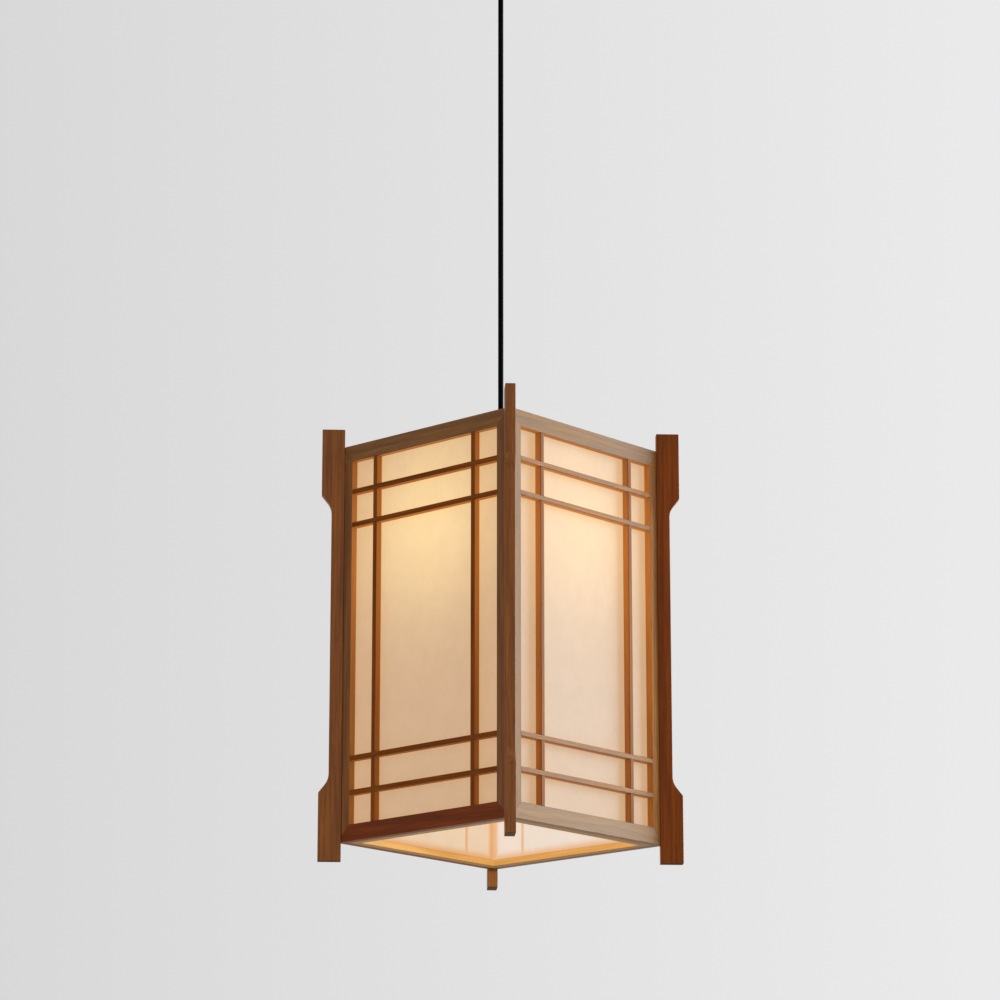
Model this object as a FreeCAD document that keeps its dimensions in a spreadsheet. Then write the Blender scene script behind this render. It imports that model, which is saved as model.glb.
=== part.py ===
import FreeCAD, Part
import math
import os
import Sketcher

# Wooden pendant light: four latticed panels backed with paper, corner fins, lampholder and bulb,
# hung by a straight cord from a ceiling rose.
# Frame: origin on the ceiling above the cord, +Z up, the front panel faces -Y. Millimetres.

SIZES = (
    ("hang_drop", 585, "ceiling to the top of the lantern"),
    ("body_width", 250, "lantern over two opposite panels"),
    ("body_height", 440, "panel height"),
    ("frame_width", 18, "face width of stiles and rails"),
    ("frame_depth", 8, "thickness of a panel"),
    ("bar_width", 5.5, "face width of a lattice bar"),
    ("cell_size", 32, "clear size of the small lattice cells"),
    ("tenon_length", 5, "stub tenon of a lattice bar"),
    ("tenon_thick", 3, "thickness of a stub tenon"),
    ("corner_flat", 9, "width of the flat planed on a lantern corner"),
    ("sheet_thick", 0.6, "translucent sheet"),
    ("sheet_margin", 1, "sheet set back from the panel's top and bottom"),
    ("fit_gap", 0.2, "clearance of pieces that slide together"),
    ("fin_thick", 11, "corner fin"),
    ("fin_over", 20, "fin beyond the panels at each end"),
    ("fin_end_width", 25, "fin at its ends"),
    ("fin_waist_width", 14, "fin along its middle"),
    ("fin_end_length", 74, "full width stretch at each end of a fin"),
    ("fin_shoulder_height", 14, "slope between the end and the waist of a fin"),
    ("fin_hollow_radius", 20, "hollow at the foot of the slope"),
    ("fin_nose_radius", 3, "round at the head of the slope"),
    ("tongue_thick", 3, "tongue of a fin in the corner mitre"),
    ("tongue_depth", 4.5, "reach of the tongue into the mitre"),
    ("tongue_stop", 40, "tongue stopped short of the panel's ends"),
    ("batten_height", 7, "inner batten ring"),
    ("batten_depth", 10, "inner batten ring, inwards"),
    ("crossbar_width", 30, "bar under the top battens"),
    ("crossbar_thick", 12, "bar under the top battens"),
    ("nipple_diameter", 10, "threaded tube through the crossbar"),
    ("nipple_bore", 7, "wire way of the threaded tube"),
    ("nipple_above", 14, "threaded tube above the crossbar"),
    ("nipple_below", 10, "threaded tube below the crossbar"),
    ("washer_diameter", 22, "washers on the crossbar"),
    ("washer_thick", 1.5, "washers on the crossbar"),
    ("nut_width", 14, "nut across its flats"),
    ("nut_thick", 4, "nut"),
    ("cord_diameter", 6, "round flex"),
    ("cord_clearance", 0.3, "air round the cord and the bulb's contact"),
    ("cord_bend_length", 8, "stretch of cord that bends first in the bell mouth"),
    ("grip_diameter", 14, "cord grip on the lantern"),
    ("grip_length", 22, "cord grip on the lantern"),
    ("grip_chamfer", 3, "bevel round the top of the cord grip"),
    ("holder_diameter", 40, "lampholder"),
    ("holder_wall", 2, "lampholder wall"),
    ("holder_neck_diameter", 17, "neck of the lampholder cap"),
    ("holder_neck_height", 7, "neck of the lampholder cap"),
    ("holder_shoulder", 14, "cap top to the foot of its slope"),
    ("holder_cap_height", 22, "lampholder cap"),
    ("skirt_length", 32, "lampholder skirt below the cap"),
    ("core_diameter", 31, "porcelain core of the lampholder"),
    ("core_ledge_drop", 4, "core's seat below the cap"),
    ("core_ledge_height", 3, "ledge under the core"),
    ("shell_bore", 27.2, "screw shell inside the lampholder"),
    ("shell_wall", 0.8, "screw shell"),
    ("shell_length", 22, "screw shell"),
    ("contact_diameter", 8, "centre contact of the lampholder"),
    ("contact_thick", 1.5, "centre contact of the lampholder"),
    ("bulb_diameter", 60, "bulb"),
    ("bulb_length", 104, "bulb with its cap"),
    ("bulb_wall", 1, "bulb glass"),
    ("bulb_shoulder_angle", 35, "latitude where the bulb's cone leaves its globe"),
    ("bulb_neck_diameter", 27.4, "bulb's neck"),
    ("bulb_cap_diameter", 26.4, "bulb's screw cap"),
    ("bulb_cap_length", 25, "bulb's screw cap"),
    ("bulb_cap_taper", 3.5, "cone at the cap's inner end"),
    ("bulb_tip_diameter", 9, "bulb's end contact"),
    ("bulb_tip_height", 2.2, "bulb's end contact"),
    ("canopy_diameter", 100, "ceiling cup"),
    ("canopy_height", 25, "ceiling cup"),
    ("canopy_wall", 1.2, "ceiling cup"),
    ("canopy_edge_radius", 4, "round at the foot of the cup"),
    ("bracket_width", 20, "strap screwed to the ceiling"),
    ("bracket_thick", 1.5, "strap screwed to the ceiling"),
    ("bracket_lug", 14, "turned down end of the strap"),
    ("slot_spacing", 56, "strap's slots, centre to centre"),
    ("slot_width", 4.5, "strap's slots"),
    ("slot_length", 14, "strap's slots, end to end"),
    ("stem_length", 9, "ceiling grip's stem inside the cup"),
    ("bell_collar_diameter", 16, "ceiling grip"),
    ("bell_collar", 8, "ceiling grip below the cup, down to the throat"),
    ("bell_length", 12, "flared mouth of the ceiling grip"),
    ("bell_angle", 25, "half angle of the flare"),
    ("bell_lip", 1.6, "rim of the flare"),
    ("block_length", 26, "terminal block"),
    ("block_width", 16, "terminal block"),
    ("block_height", 11, "terminal block"),
)

PANELS = ("front", "right", "back", "left")
CORNERS = ("front_right", "right_back", "back_left", "left_front")
SIDES = (("left", -1), ("right", 1))
ENDS = (("bottom", -1), ("top", 1))

# Panel plan, seen from above with the panel's face towards -Y.
HALF = "size.body_width / 2"
EDGE = "size.body_height / 2"
WINDOW_X = f"({HALF} - size.frame_width)"
WINDOW_Z = f"({EDGE} - size.frame_width)"
FACE = f"(-{HALF})"
BACK_X = f"({HALF} - size.frame_depth)"
BACK = f"(-{BACK_X})"
MIDDLE = f"({FACE} + size.frame_depth / 2)"
INSIDE = f"({BACK_X} - size.sheet_thick)"
FLAT_X = f"({HALF} - size.corner_flat / sqrt(2))"
FLAT_TIP = f"({HALF} - size.corner_flat / sqrt(8))"
SEAT = f"({HALF} * sqrt(2) - size.corner_flat / 2)"
BAR_HALF = "size.bar_width / 2"
BAR_X = f"({WINDOW_X} - size.cell_size - {BAR_HALF})"
BAR_PITCH = "(size.cell_size + size.bar_width)"
BAR_LEVELS = (
    f"({WINDOW_Z} - size.cell_size - {BAR_HALF})",
    f"({WINDOW_Z} - size.cell_size - {BAR_HALF} - {BAR_PITCH})",
    f"(-{WINDOW_Z} + size.cell_size + {BAR_HALF} + {BAR_PITCH})",
    f"(-{WINDOW_Z} + size.cell_size + {BAR_HALF})",
)
TENON_FRONT = f"({MIDDLE} - size.tenon_thick / 2)"
TENON_BACK = f"({MIDDLE} + size.tenon_thick / 2)"
TENON_X = f"({WINDOW_X} + size.tenon_length)"
TENON_Z = f"({WINDOW_Z} + size.tenon_length)"
MORTISE_X = f"({TENON_X} + size.fit_gap)"
MORTISE_Z = f"({TENON_Z} + size.fit_gap)"
TONGUE_LENGTH = "(size.body_height - 2 * size.tongue_stop)"

# Heights of the fittings, from the top of the lantern.
BAR_TOP = "(-size.batten_height)"
BAR_LOW = f"({BAR_TOP} - size.crossbar_thick)"
NIPPLE_TOP = f"({BAR_TOP} + size.nipple_above)"
NIPPLE_LOW = f"({BAR_LOW} - size.nipple_below)"
NUT_LOW = f"({BAR_TOP} + size.washer_thick)"
GRIP_LOW = f"({NUT_LOW} + size.nut_thick)"
GRIP_TOP = f"({GRIP_LOW} + size.grip_length)"
HOLDER_TOP = f"({BAR_LOW} - size.washer_thick)"
CAP_LOW = f"({HOLDER_TOP} - size.holder_cap_height)"
CORE_TOP = f"({HOLDER_TOP} - size.holder_shoulder)"
CORE_LOW = f"({CAP_LOW} - size.core_ledge_drop)"
SKIRT_LOW = f"({CAP_LOW} - size.skirt_length)"
TIP = f"({CORE_LOW} - size.contact_thick - size.cord_clearance)"
BULB_CAP_TOP = f"({TIP} - size.bulb_tip_height)"
BULB_CAP_LOW = f"({BULB_CAP_TOP} - size.bulb_cap_length)"
GLOBE = f"({TIP} - size.bulb_length + size.bulb_diameter / 2)"

# Heights of the ceiling fitting and the cord, from the ceiling.
CUP_LOW = "(-size.canopy_height)"
CUP_FLOOR = f"({CUP_LOW} + size.canopy_wall)"
THROAT = f"({CUP_LOW} - size.bell_collar)"
MOUTH = f"({THROAT} - size.bell_length)"
BEND_LOW = f"({THROAT} - size.cord_bend_length)"
CORD_END = f"({NIPPLE_LOW} - size.hang_drop)"
BLOCK_LOW = "(-size.bracket_thick - size.block_height)"
CORD_R = "size.cord_diameter / 2"
CORD_WAY = f"({CORD_R} + size.cord_clearance)"
STEM_R = "size.nipple_diameter / 2"

doc = FreeCAD.newDocument("pendant_light")
sheet = doc.addObject("Spreadsheet::Sheet", "size")
for row, (alias, value, note) in enumerate(SIZES, start=1):
    sheet.set(f"A{row}", note)
    sheet.set(f"B{row}", str(value))
    sheet.setAlias(f"B{row}", alias)
trial = doc.addObject("Spreadsheet::Sheet", "trial")
doc.recompute()
nodes = []


def number(formula):
    """The number that a formula of the sheet's sizes gives, to start a sketch near its final form."""
    trial.set("A1", f"={formula}")
    trial.recompute()
    return float(trial.get("A1"))


def new_body(label):
    """An empty body with this name."""
    body = doc.addObject("PartDesign::Body", label)
    body.Label = label
    return body


def place(piece, height, turn=0):
    """Set a finished piece in the frame, turned about the cord and listed as a node."""
    piece.Placement = FreeCAD.Placement(FreeCAD.Vector(), FreeCAD.Rotation(FreeCAD.Vector(0, 0, 1), turn))
    piece.setExpression("Placement.Base.z", height)
    nodes.append(piece)


def outline(body, role, corners, offset="0"):
    """A closed outline on an origin plane. A corner is (across, up) as formulas, pinned to the origin.

    A corner with a third and fourth formula starts an arc round that centre, up to the next corner.
    """
    sketch = body.newObject("Sketcher::SketchObject", "outline")
    plane = next(feature for feature in body.Origin.OriginFeatures if feature.Role == role)
    sketch.AttachmentSupport = [(plane, "")]
    sketch.MapMode = "FlatFace"
    sketch.setExpression("AttachmentOffset.Base.z", offset)
    count = len(corners)
    points = [FreeCAD.Vector(number(corner[0]), number(corner[1]), 0) for corner in corners]
    ends = []
    for i, corner in enumerate(corners):
        start, stop = points[i], points[(i + 1) % count]
        if len(corner) == 2:
            sketch.addGeometry(Part.LineSegment(start, stop), False)
            ends.append((1, 2))
            continue
        middle = FreeCAD.Vector(number(corner[2]), number(corner[3]), 0)
        forward = (start - middle).cross(stop - middle).z > 0
        first, last = (start, stop) if forward else (stop, start)
        circle = Part.Circle(middle, FreeCAD.Vector(0, 0, 1), (start - middle).Length)
        angles = [math.atan2((p - middle).y, (p - middle).x) for p in (first, last)]
        sketch.addGeometry(Part.ArcOfCircle(circle, angles[0], angles[1]), False)
        ends.append((1, 2) if forward else (2, 1))
    for i in range(count):
        following = (i + 1) % count
        sketch.addConstraint(Sketcher.Constraint("Coincident", i, ends[i][1], following, ends[following][0]))
    for i, corner in enumerate(corners):
        before = corners[i - 1]
        pins = [("DistanceX", corner[0]), ("DistanceY", corner[1])]
        if len(before) == 4:
            level = abs(number(corner[0]) - number(before[2])) < abs(number(corner[1]) - number(before[3]))
            pins = pins[:1] if level else pins[1:]
        for kind, formula in pins:
            pin(sketch, kind, i, ends[i][0], formula)
        if len(corner) == 4:
            pin(sketch, "DistanceX", i, 3, corner[2])
            pin(sketch, "DistanceY", i, 3, corner[3])
    return sketch


def pin(sketch, kind, side, point, formula):
    """Hold one point of a sketch at a formula's distance from the origin."""
    index = sketch.addConstraint(Sketcher.Constraint(kind, -1, 1, side, point, number(formula)))
    sketch.setExpression(f"Constraints[{index}]", formula)


def pad(body, sketch, length, both_ways=False):
    """Pad a sketch, or half the length to either side of it."""
    feature = body.newObject("PartDesign::Pad", "pad")
    feature.Profile = sketch
    feature.SideType = "Symmetric" if both_ways else "One side"
    feature.setExpression("Length", length)


def pocket(body, sketch, length=None):
    """Cut a sketch out to both sides of its plane, right through unless a length is given."""
    feature = body.newObject("PartDesign::Pocket", "pocket")
    feature.Profile = sketch
    feature.SideType = "Symmetric"
    feature.Type = "Length" if length else "ThroughAll"
    if length:
        feature.setExpression("Length", length)


def block(body, kind, low, high):
    """Add or take away a box between two corners given as formulas."""
    box = body.newObject(f"PartDesign::{kind}Box", "block")
    for side, name, start, stop in zip(("Length", "Width", "Height"), "xyz", low, high):
        box.setExpression(side, f"({stop}) - ({start})")
        box.setExpression(f"Placement.Base.{name}", start)


def rod(body, kind, diameter, low, high, across="0"):
    """Add or take away an upright cylinder between two heights."""
    cylinder = body.newObject(f"PartDesign::{kind}Cylinder", "rod")
    cylinder.setExpression("Radius", f"({diameter}) / 2")
    cylinder.setExpression("Height", f"({high}) - ({low})")
    cylinder.setExpression("Placement.Base.x", across)
    cylinder.setExpression("Placement.Base.z", low)


def turned(label, corners):
    """A body turned about the cord's axis from a profile of radius and height."""
    body = new_body(label)
    sketch = outline(body, "XZ_Plane", corners)
    feature = body.newObject("PartDesign::Revolution", "turning")
    feature.Profile = sketch
    feature.ReferenceAxis = (sketch, ["V_Axis"])
    feature.Angle = 360
    return body


def group(label, pieces):
    """One node of several separate pieces."""
    compound = doc.addObject("Part::Compound", label)
    compound.Label = label
    compound.Links = pieces
    return compound


def stile(label, side):
    """An upright of a panel frame: mitred to the rails and to the next panel, grooved for a fin's tongue."""
    body = new_body(label)
    plan = (
        (WINDOW_X, FACE),
        (FLAT_X, FACE),
        (FLAT_TIP, f"-{FLAT_TIP}"),
        (BACK_X, BACK),
        (WINDOW_X, BACK),
    )
    sketch = outline(body, "XY_Plane", [(f"{side} * {across}", up) for across, up in plan])
    pad(body, sketch, "size.body_height", both_ways=True)
    for _, end in ENDS:
        mitre = (
            (f"{side} * {WINDOW_X}", f"{end} * {WINDOW_Z}"),
            (f"{side} * {HALF}", f"{end} * {EDGE}"),
            (f"{side} * {WINDOW_X}", f"{end} * {EDGE}"),
        )
        pocket(body, outline(body, "XZ_Plane", mitre))
    groove_half = "(size.tongue_thick / 2 + size.fit_gap / 2)"
    groove_foot = f"({SEAT} - size.tongue_depth - size.fit_gap)"
    groove_head = f"({SEAT} + size.tongue_thick)"
    groove = []
    for reach, shift in ((groove_foot, -1), (groove_head, -1), (groove_head, 1), (groove_foot, 1)):
        across = f"{side} * ({reach} + {shift} * {groove_half}) / sqrt(2)"
        groove.append((across, f"({shift} * {groove_half} - {reach}) / sqrt(2)"))
    pocket(body, outline(body, "XY_Plane", groove), f"{TONGUE_LENGTH} + 2 * size.fit_gap")
    low, high = sorted((f"{side} * {WINDOW_X}", f"{side} * {MORTISE_X}"), key=number)
    for level in BAR_LEVELS:
        near = (low, TENON_FRONT, f"{level} - {BAR_HALF}")
        far = (high, TENON_BACK, f"{level} + {BAR_HALF}")
        block(body, "Subtractive", near, far)
    return body


def rail(label, end):
    """A level member of a panel frame, mitred at both ends and mortised for the lattice uprights."""
    body = new_body(label)
    plan = (
        (f"-{FLAT_X}", FACE),
        (FLAT_X, FACE),
        (FLAT_TIP, f"-{FLAT_TIP}"),
        (BACK_X, BACK),
        (f"-{BACK_X}", BACK),
        (f"-{FLAT_TIP}", f"-{FLAT_TIP}"),
    )
    foot = WINDOW_Z if end > 0 else f"-{EDGE}"
    pad(body, outline(body, "XY_Plane", plan, foot), "size.frame_width")
    for _, side in SIDES:
        mitre = (
            (f"{side} * {WINDOW_X}", f"{end} * {WINDOW_Z}"),
            (f"{side} * {HALF}", f"{end} * {EDGE}"),
            (f"{side} * {HALF}", f"{end} * {WINDOW_Z}"),
        )
        pocket(body, outline(body, "XZ_Plane", mitre))
    low, high = sorted((f"{end} * {WINDOW_Z}", f"{end} * {MORTISE_Z}"), key=number)
    for _, side in SIDES:
        near = (f"{side} * {BAR_X} - {BAR_HALF}", TENON_FRONT, low)
        far = (f"{side} * {BAR_X} + {BAR_HALF}", TENON_BACK, high)
        block(body, "Subtractive", near, far)
    return body


def upright(label, side):
    """A lattice upright with stub tenons, notched in front for the level bars."""
    body = new_body(label)
    left = f"{side} * {BAR_X} - {BAR_HALF}"
    right = f"{side} * {BAR_X} + {BAR_HALF}"
    block(body, "Additive", (left, FACE, f"-{WINDOW_Z}"), (right, BACK, WINDOW_Z))
    block(body, "Additive", (left, TENON_FRONT, f"-{TENON_Z}"), (right, TENON_BACK, TENON_Z))
    for level in BAR_LEVELS:
        near = (left, FACE, f"{level} - {BAR_HALF}")
        far = (right, MIDDLE, f"{level} + {BAR_HALF}")
        block(body, "Subtractive", near, far)
    return body


def level_bar(label, level):
    """A level lattice bar with stub tenons, notched behind for the uprights."""
    body = new_body(label)
    foot = f"{level} - {BAR_HALF}"
    head = f"{level} + {BAR_HALF}"
    block(body, "Additive", (f"-{WINDOW_X}", FACE, foot), (WINDOW_X, BACK, head))
    block(body, "Additive", (f"-{TENON_X}", TENON_FRONT, foot), (TENON_X, TENON_BACK, head))
    for _, side in SIDES:
        near = (f"{side} * {BAR_X} - {BAR_HALF}", MIDDLE, foot)
        far = (f"{side} * {BAR_X} + {BAR_HALF}", BACK, head)
        block(body, "Subtractive", near, far)
    return body


def paper(label):
    """The translucent sheet glued behind a panel frame."""
    body = new_body(label)
    head = f"({EDGE} - size.sheet_margin)"
    block(body, "Additive", (f"-{INSIDE}", BACK, f"-{head}"), (INSIDE, f"-{INSIDE}", head))
    return body


def panels():
    """Four panels, each with its frame, its lattice and its sheet."""
    height = f"-size.hang_drop - {EDGE}"
    for turn, panel in enumerate(PANELS):
        pieces = [stile(f"{panel}_stile_{name}", side) for name, side in SIDES]
        pieces += [rail(f"{panel}_rail_{name}", end) for name, end in ENDS]
        ups = [upright(f"{panel}_upright_{name}", side) for name, side in SIDES]
        pieces.append(group(f"{panel}_uprights", ups))
        bars = [level_bar(f"{panel}_bar_{i}", level) for i, level in enumerate(BAR_LEVELS, start=1)]
        pieces.append(group(f"{panel}_level_bars", bars))
        pieces.append(paper(f"{panel}_sheet"))
        for piece in pieces:
            place(piece, height, 90 * turn)


def fin(label):
    """A corner fin: wide ends, hollowed shoulders, slim waist, and a stopped tongue for the mitre."""
    body = new_body(label)
    tip = f"({EDGE} + size.fin_over)"
    nose = f"({tip} - size.fin_end_length)"
    hollow = f"({nose} - size.fin_shoulder_height)"
    wide = f"({SEAT} + size.fin_end_width)"
    waist = f"({SEAT} + size.fin_waist_width)"
    side = (
        (SEAT, f"-{tip}"),
        (wide, f"-{tip}"),
        (wide, f"-{nose}"),
        (waist, f"-{hollow}"),
        (waist, hollow),
        (wide, nose),
        (wide, tip),
        (SEAT, tip),
    )
    pad(body, outline(body, "XZ_Plane", side), "size.fin_thick", both_ways=True)
    doc.recompute()
    for radius, across, up in (("size.fin_hollow_radius", waist, hollow), ("size.fin_nose_radius", wide, nose)):
        round_edges(body, radius, number(across), number(up))
    half = f"{TONGUE_LENGTH} / 2"
    near = (f"{SEAT} - size.tongue_depth", "-size.tongue_thick / 2", f"-{half}")
    far = (SEAT, "size.tongue_thick / 2", half)
    block(body, "Additive", near, far)
    return body


def round_edges(body, radius, across, up):
    """Round the two edges through a fin that lie at this distance out and this height up and down."""
    tolerance = 0.01
    names = []
    for index, edge in enumerate(body.Shape.Edges, start=1):
        box = edge.BoundBox
        on_line = abs(box.XMin - across) < tolerance and abs(box.XMax - across) < tolerance
        level = box.ZLength < tolerance and abs(abs(box.ZMin) - up) < tolerance
        if on_line and level:
            names.append(f"Edge{index}")
    base = body.Tip
    feature = body.newObject("PartDesign::Fillet", "round")
    feature.Base = (base, names)
    feature.setExpression("Radius", radius)
    doc.recompute()


def fins():
    """A fin on each corner of the lantern, set on the diagonal."""
    for turn, corner in enumerate(CORNERS):
        place(fin(f"fin_{corner}"), f"-size.hang_drop - {EDGE}", 90 * turn - 45)


def batten_ring(label, foot):
    """Four mitred battens that clamp the sheets to the rails."""
    inner = f"({INSIDE} - size.batten_depth)"
    plan = (
        (f"-{INSIDE}", f"-{INSIDE}"),
        (INSIDE, f"-{INSIDE}"),
        (inner, f"-{inner}"),
        (f"-{inner}", f"-{inner}"),
    )
    battens = []
    for turn, panel in enumerate(PANELS):
        body = new_body(f"{label}_{panel}")
        pad(body, outline(body, "XY_Plane", plan, foot), "size.batten_height")
        body.Placement.Rotation = FreeCAD.Rotation(FreeCAD.Vector(0, 0, 1), 90 * turn)
        battens.append(body)
    return group(label, battens)


def hex_nut(label, foot):
    """A hexagon nut on the cord's axis."""
    body = new_body(label)
    reach = "size.nut_width / sqrt(3)"
    corners = [(f"{reach} * cos({60 * i})", f"{reach} * sin({60 * i})") for i in range(6)]
    pad(body, outline(body, "XY_Plane", corners, foot), "size.nut_thick")
    rod(body, "Subtractive", "size.nipple_diameter", foot, f"{foot} + size.nut_thick")
    return body


def washer(label, foot):
    """A flat washer on the threaded tube."""
    body = new_body(label)
    head = f"{foot} + size.washer_thick"
    rod(body, "Additive", "size.washer_diameter", foot, head)
    rod(body, "Subtractive", "size.nipple_diameter + size.fit_gap", foot, head)
    return body


def carrier():
    """Battens, crossbar, threaded tube, washers, nut and cord grip that hang the lantern on its cord."""
    place(batten_ring("batten_ring_top", BAR_TOP), "-size.hang_drop")
    place(batten_ring("batten_ring_bottom", "0"), "-size.hang_drop - size.body_height")
    crossbar = new_body("crossbar")
    reach = f"({INSIDE} - size.fit_gap)"
    breadth = "size.crossbar_width / 2"
    block(crossbar, "Additive", (f"-{reach}", f"-{breadth}", BAR_LOW), (reach, breadth, BAR_TOP))
    rod(crossbar, "Subtractive", "size.nipple_diameter + size.fit_gap", BAR_LOW, BAR_TOP)
    place(crossbar, "-size.hang_drop")
    nipple = new_body("nipple")
    rod(nipple, "Additive", "size.nipple_diameter", NIPPLE_LOW, NIPPLE_TOP)
    rod(nipple, "Subtractive", "size.nipple_bore", NIPPLE_LOW, NIPPLE_TOP)
    place(nipple, "-size.hang_drop")
    washers = [washer("washer_top", BAR_TOP), washer("washer_bottom", HOLDER_TOP)]
    place(group("nipple_washers", washers), "-size.hang_drop")
    place(hex_nut("nipple_nut", NUT_LOW), "-size.hang_drop")
    socket = f"({NIPPLE_TOP} + size.fit_gap)"
    radius = "size.grip_diameter / 2"
    profile = (
        (STEM_R, GRIP_LOW),
        (radius, GRIP_LOW),
        (radius, f"{GRIP_TOP} - size.grip_chamfer"),
        (f"{radius} - size.grip_chamfer", GRIP_TOP),
        (CORD_WAY, GRIP_TOP),
        (CORD_WAY, socket),
        (STEM_R, socket),
    )
    place(turned("cord_grip", profile), "-size.hang_drop")


def lampholder():
    """Cap, skirt, porcelain core and contacts of the screw lampholder under the crossbar."""
    outer = "size.holder_diameter / 2"
    inner = f"({outer} - size.holder_wall)"
    neck = "size.holder_neck_diameter / 2"
    neck_low = f"({HOLDER_TOP} - size.holder_neck_height)"
    cap = (
        (STEM_R, HOLDER_TOP),
        (neck, HOLDER_TOP),
        (neck, neck_low),
        (outer, CORE_TOP),
        (outer, CAP_LOW),
        (inner, CAP_LOW),
        (inner, CORE_TOP),
        (neck, f"{neck_low} - size.holder_wall"),
        (STEM_R, f"{neck_low} - size.holder_wall"),
    )
    place(turned("holder_cap", cap), "-size.hang_drop")
    core = "size.core_diameter / 2"
    seat = f"({core} + size.fit_gap / 2)"
    shell = "(size.shell_bore / 2 + size.shell_wall)"
    ledge = f"({shell} + size.fit_gap)"
    ledge_low = f"({CORE_LOW} - size.core_ledge_height)"
    spigot = f"({inner} - size.fit_gap / 2)"
    skirt = (
        (seat, CORE_TOP),
        (spigot, CORE_TOP),
        (spigot, CAP_LOW),
        (outer, CAP_LOW),
        (outer, SKIRT_LOW),
        (inner, SKIRT_LOW),
        (inner, ledge_low),
        (ledge, ledge_low),
        (ledge, CORE_LOW),
        (seat, CORE_LOW),
    )
    place(turned("holder_skirt", skirt), "-size.hang_drop")
    porcelain = new_body("holder_core")
    rod(porcelain, "Additive", "size.core_diameter", CORE_LOW, CORE_TOP)
    place(porcelain, "-size.hang_drop")
    screw_shell = new_body("screw_shell")
    shell_low = f"{CORE_LOW} - size.shell_length"
    rod(screw_shell, "Additive", f"2 * {shell}", shell_low, CORE_LOW)
    rod(screw_shell, "Subtractive", "size.shell_bore", shell_low, CORE_LOW)
    contact = new_body("centre_contact")
    rod(contact, "Additive", "size.contact_diameter", f"{CORE_LOW} - size.contact_thick", CORE_LOW)
    place(group("holder_contacts", [screw_shell, contact]), "-size.hang_drop")


def bulb():
    """Glass, screw cap and end contact of the bulb."""
    outer = "size.bulb_diameter / 2"
    inner = f"({outer} - size.bulb_wall)"
    neck = "size.bulb_neck_diameter / 2"
    bore = f"({neck} - size.bulb_wall)"
    sine = "sin(size.bulb_shoulder_angle)"
    cosine = "cos(size.bulb_shoulder_angle)"
    slope = "tan(size.bulb_shoulder_angle)"
    glass = (
        ("0", f"{GLOBE} - {outer}", "0", GLOBE),
        (f"{outer} * {cosine}", f"{GLOBE} + {outer} * {sine}"),
        (neck, f"{GLOBE} + {outer} * {sine} + ({outer} * {cosine} - {neck}) / {slope}"),
        (neck, BULB_CAP_LOW),
        (bore, BULB_CAP_LOW),
        (bore, f"{GLOBE} + {inner} * {sine} + ({inner} * {cosine} - {bore}) / {slope}"),
        (f"{inner} * {cosine}", f"{GLOBE} + {inner} * {sine}", "0", GLOBE),
        ("0", f"{GLOBE} - {inner}"),
    )
    place(turned("bulb_glass", glass), "-size.hang_drop")
    tip = "size.bulb_tip_diameter / 2"
    radius = "size.bulb_cap_diameter / 2"
    cap = (
        ("0", BULB_CAP_TOP),
        (tip, BULB_CAP_TOP),
        (radius, f"{BULB_CAP_TOP} - size.bulb_cap_taper"),
        (radius, BULB_CAP_LOW),
        ("0", BULB_CAP_LOW),
    )
    place(turned("bulb_cap", cap), "-size.hang_drop")
    contact = (
        ("0", TIP),
        (f"{tip} - size.bulb_tip_height / 2", TIP),
        (tip, f"{TIP} - size.bulb_tip_height / 2"),
        (tip, BULB_CAP_TOP),
        ("0", BULB_CAP_TOP),
    )
    place(turned("bulb_contact", contact), "-size.hang_drop")


def cords():
    """The flex: its tail in the ceiling cup, the stretch that bends first, and the long drop."""
    top = (("0", f"{THROAT} + {CORD_R}", "0", THROAT), (CORD_R, THROAT))
    foot = f"{BEND_LOW} + {CORD_R} + size.cord_clearance"
    place(turned("cord_bend", top + ((CORD_R, foot), ("0", foot))), "0")
    top = (("0", f"{BEND_LOW} + {CORD_R}", "0", BEND_LOW), (CORD_R, BEND_LOW))
    place(turned("cord", top + ((CORD_R, CORD_END), ("0", CORD_END))), "0")
    tail = new_body("cord_tail")
    rod(tail, "Additive", "size.cord_diameter", f"{THROAT} + {CORD_R} + size.cord_clearance", BLOCK_LOW)
    place(tail, "0")


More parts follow.
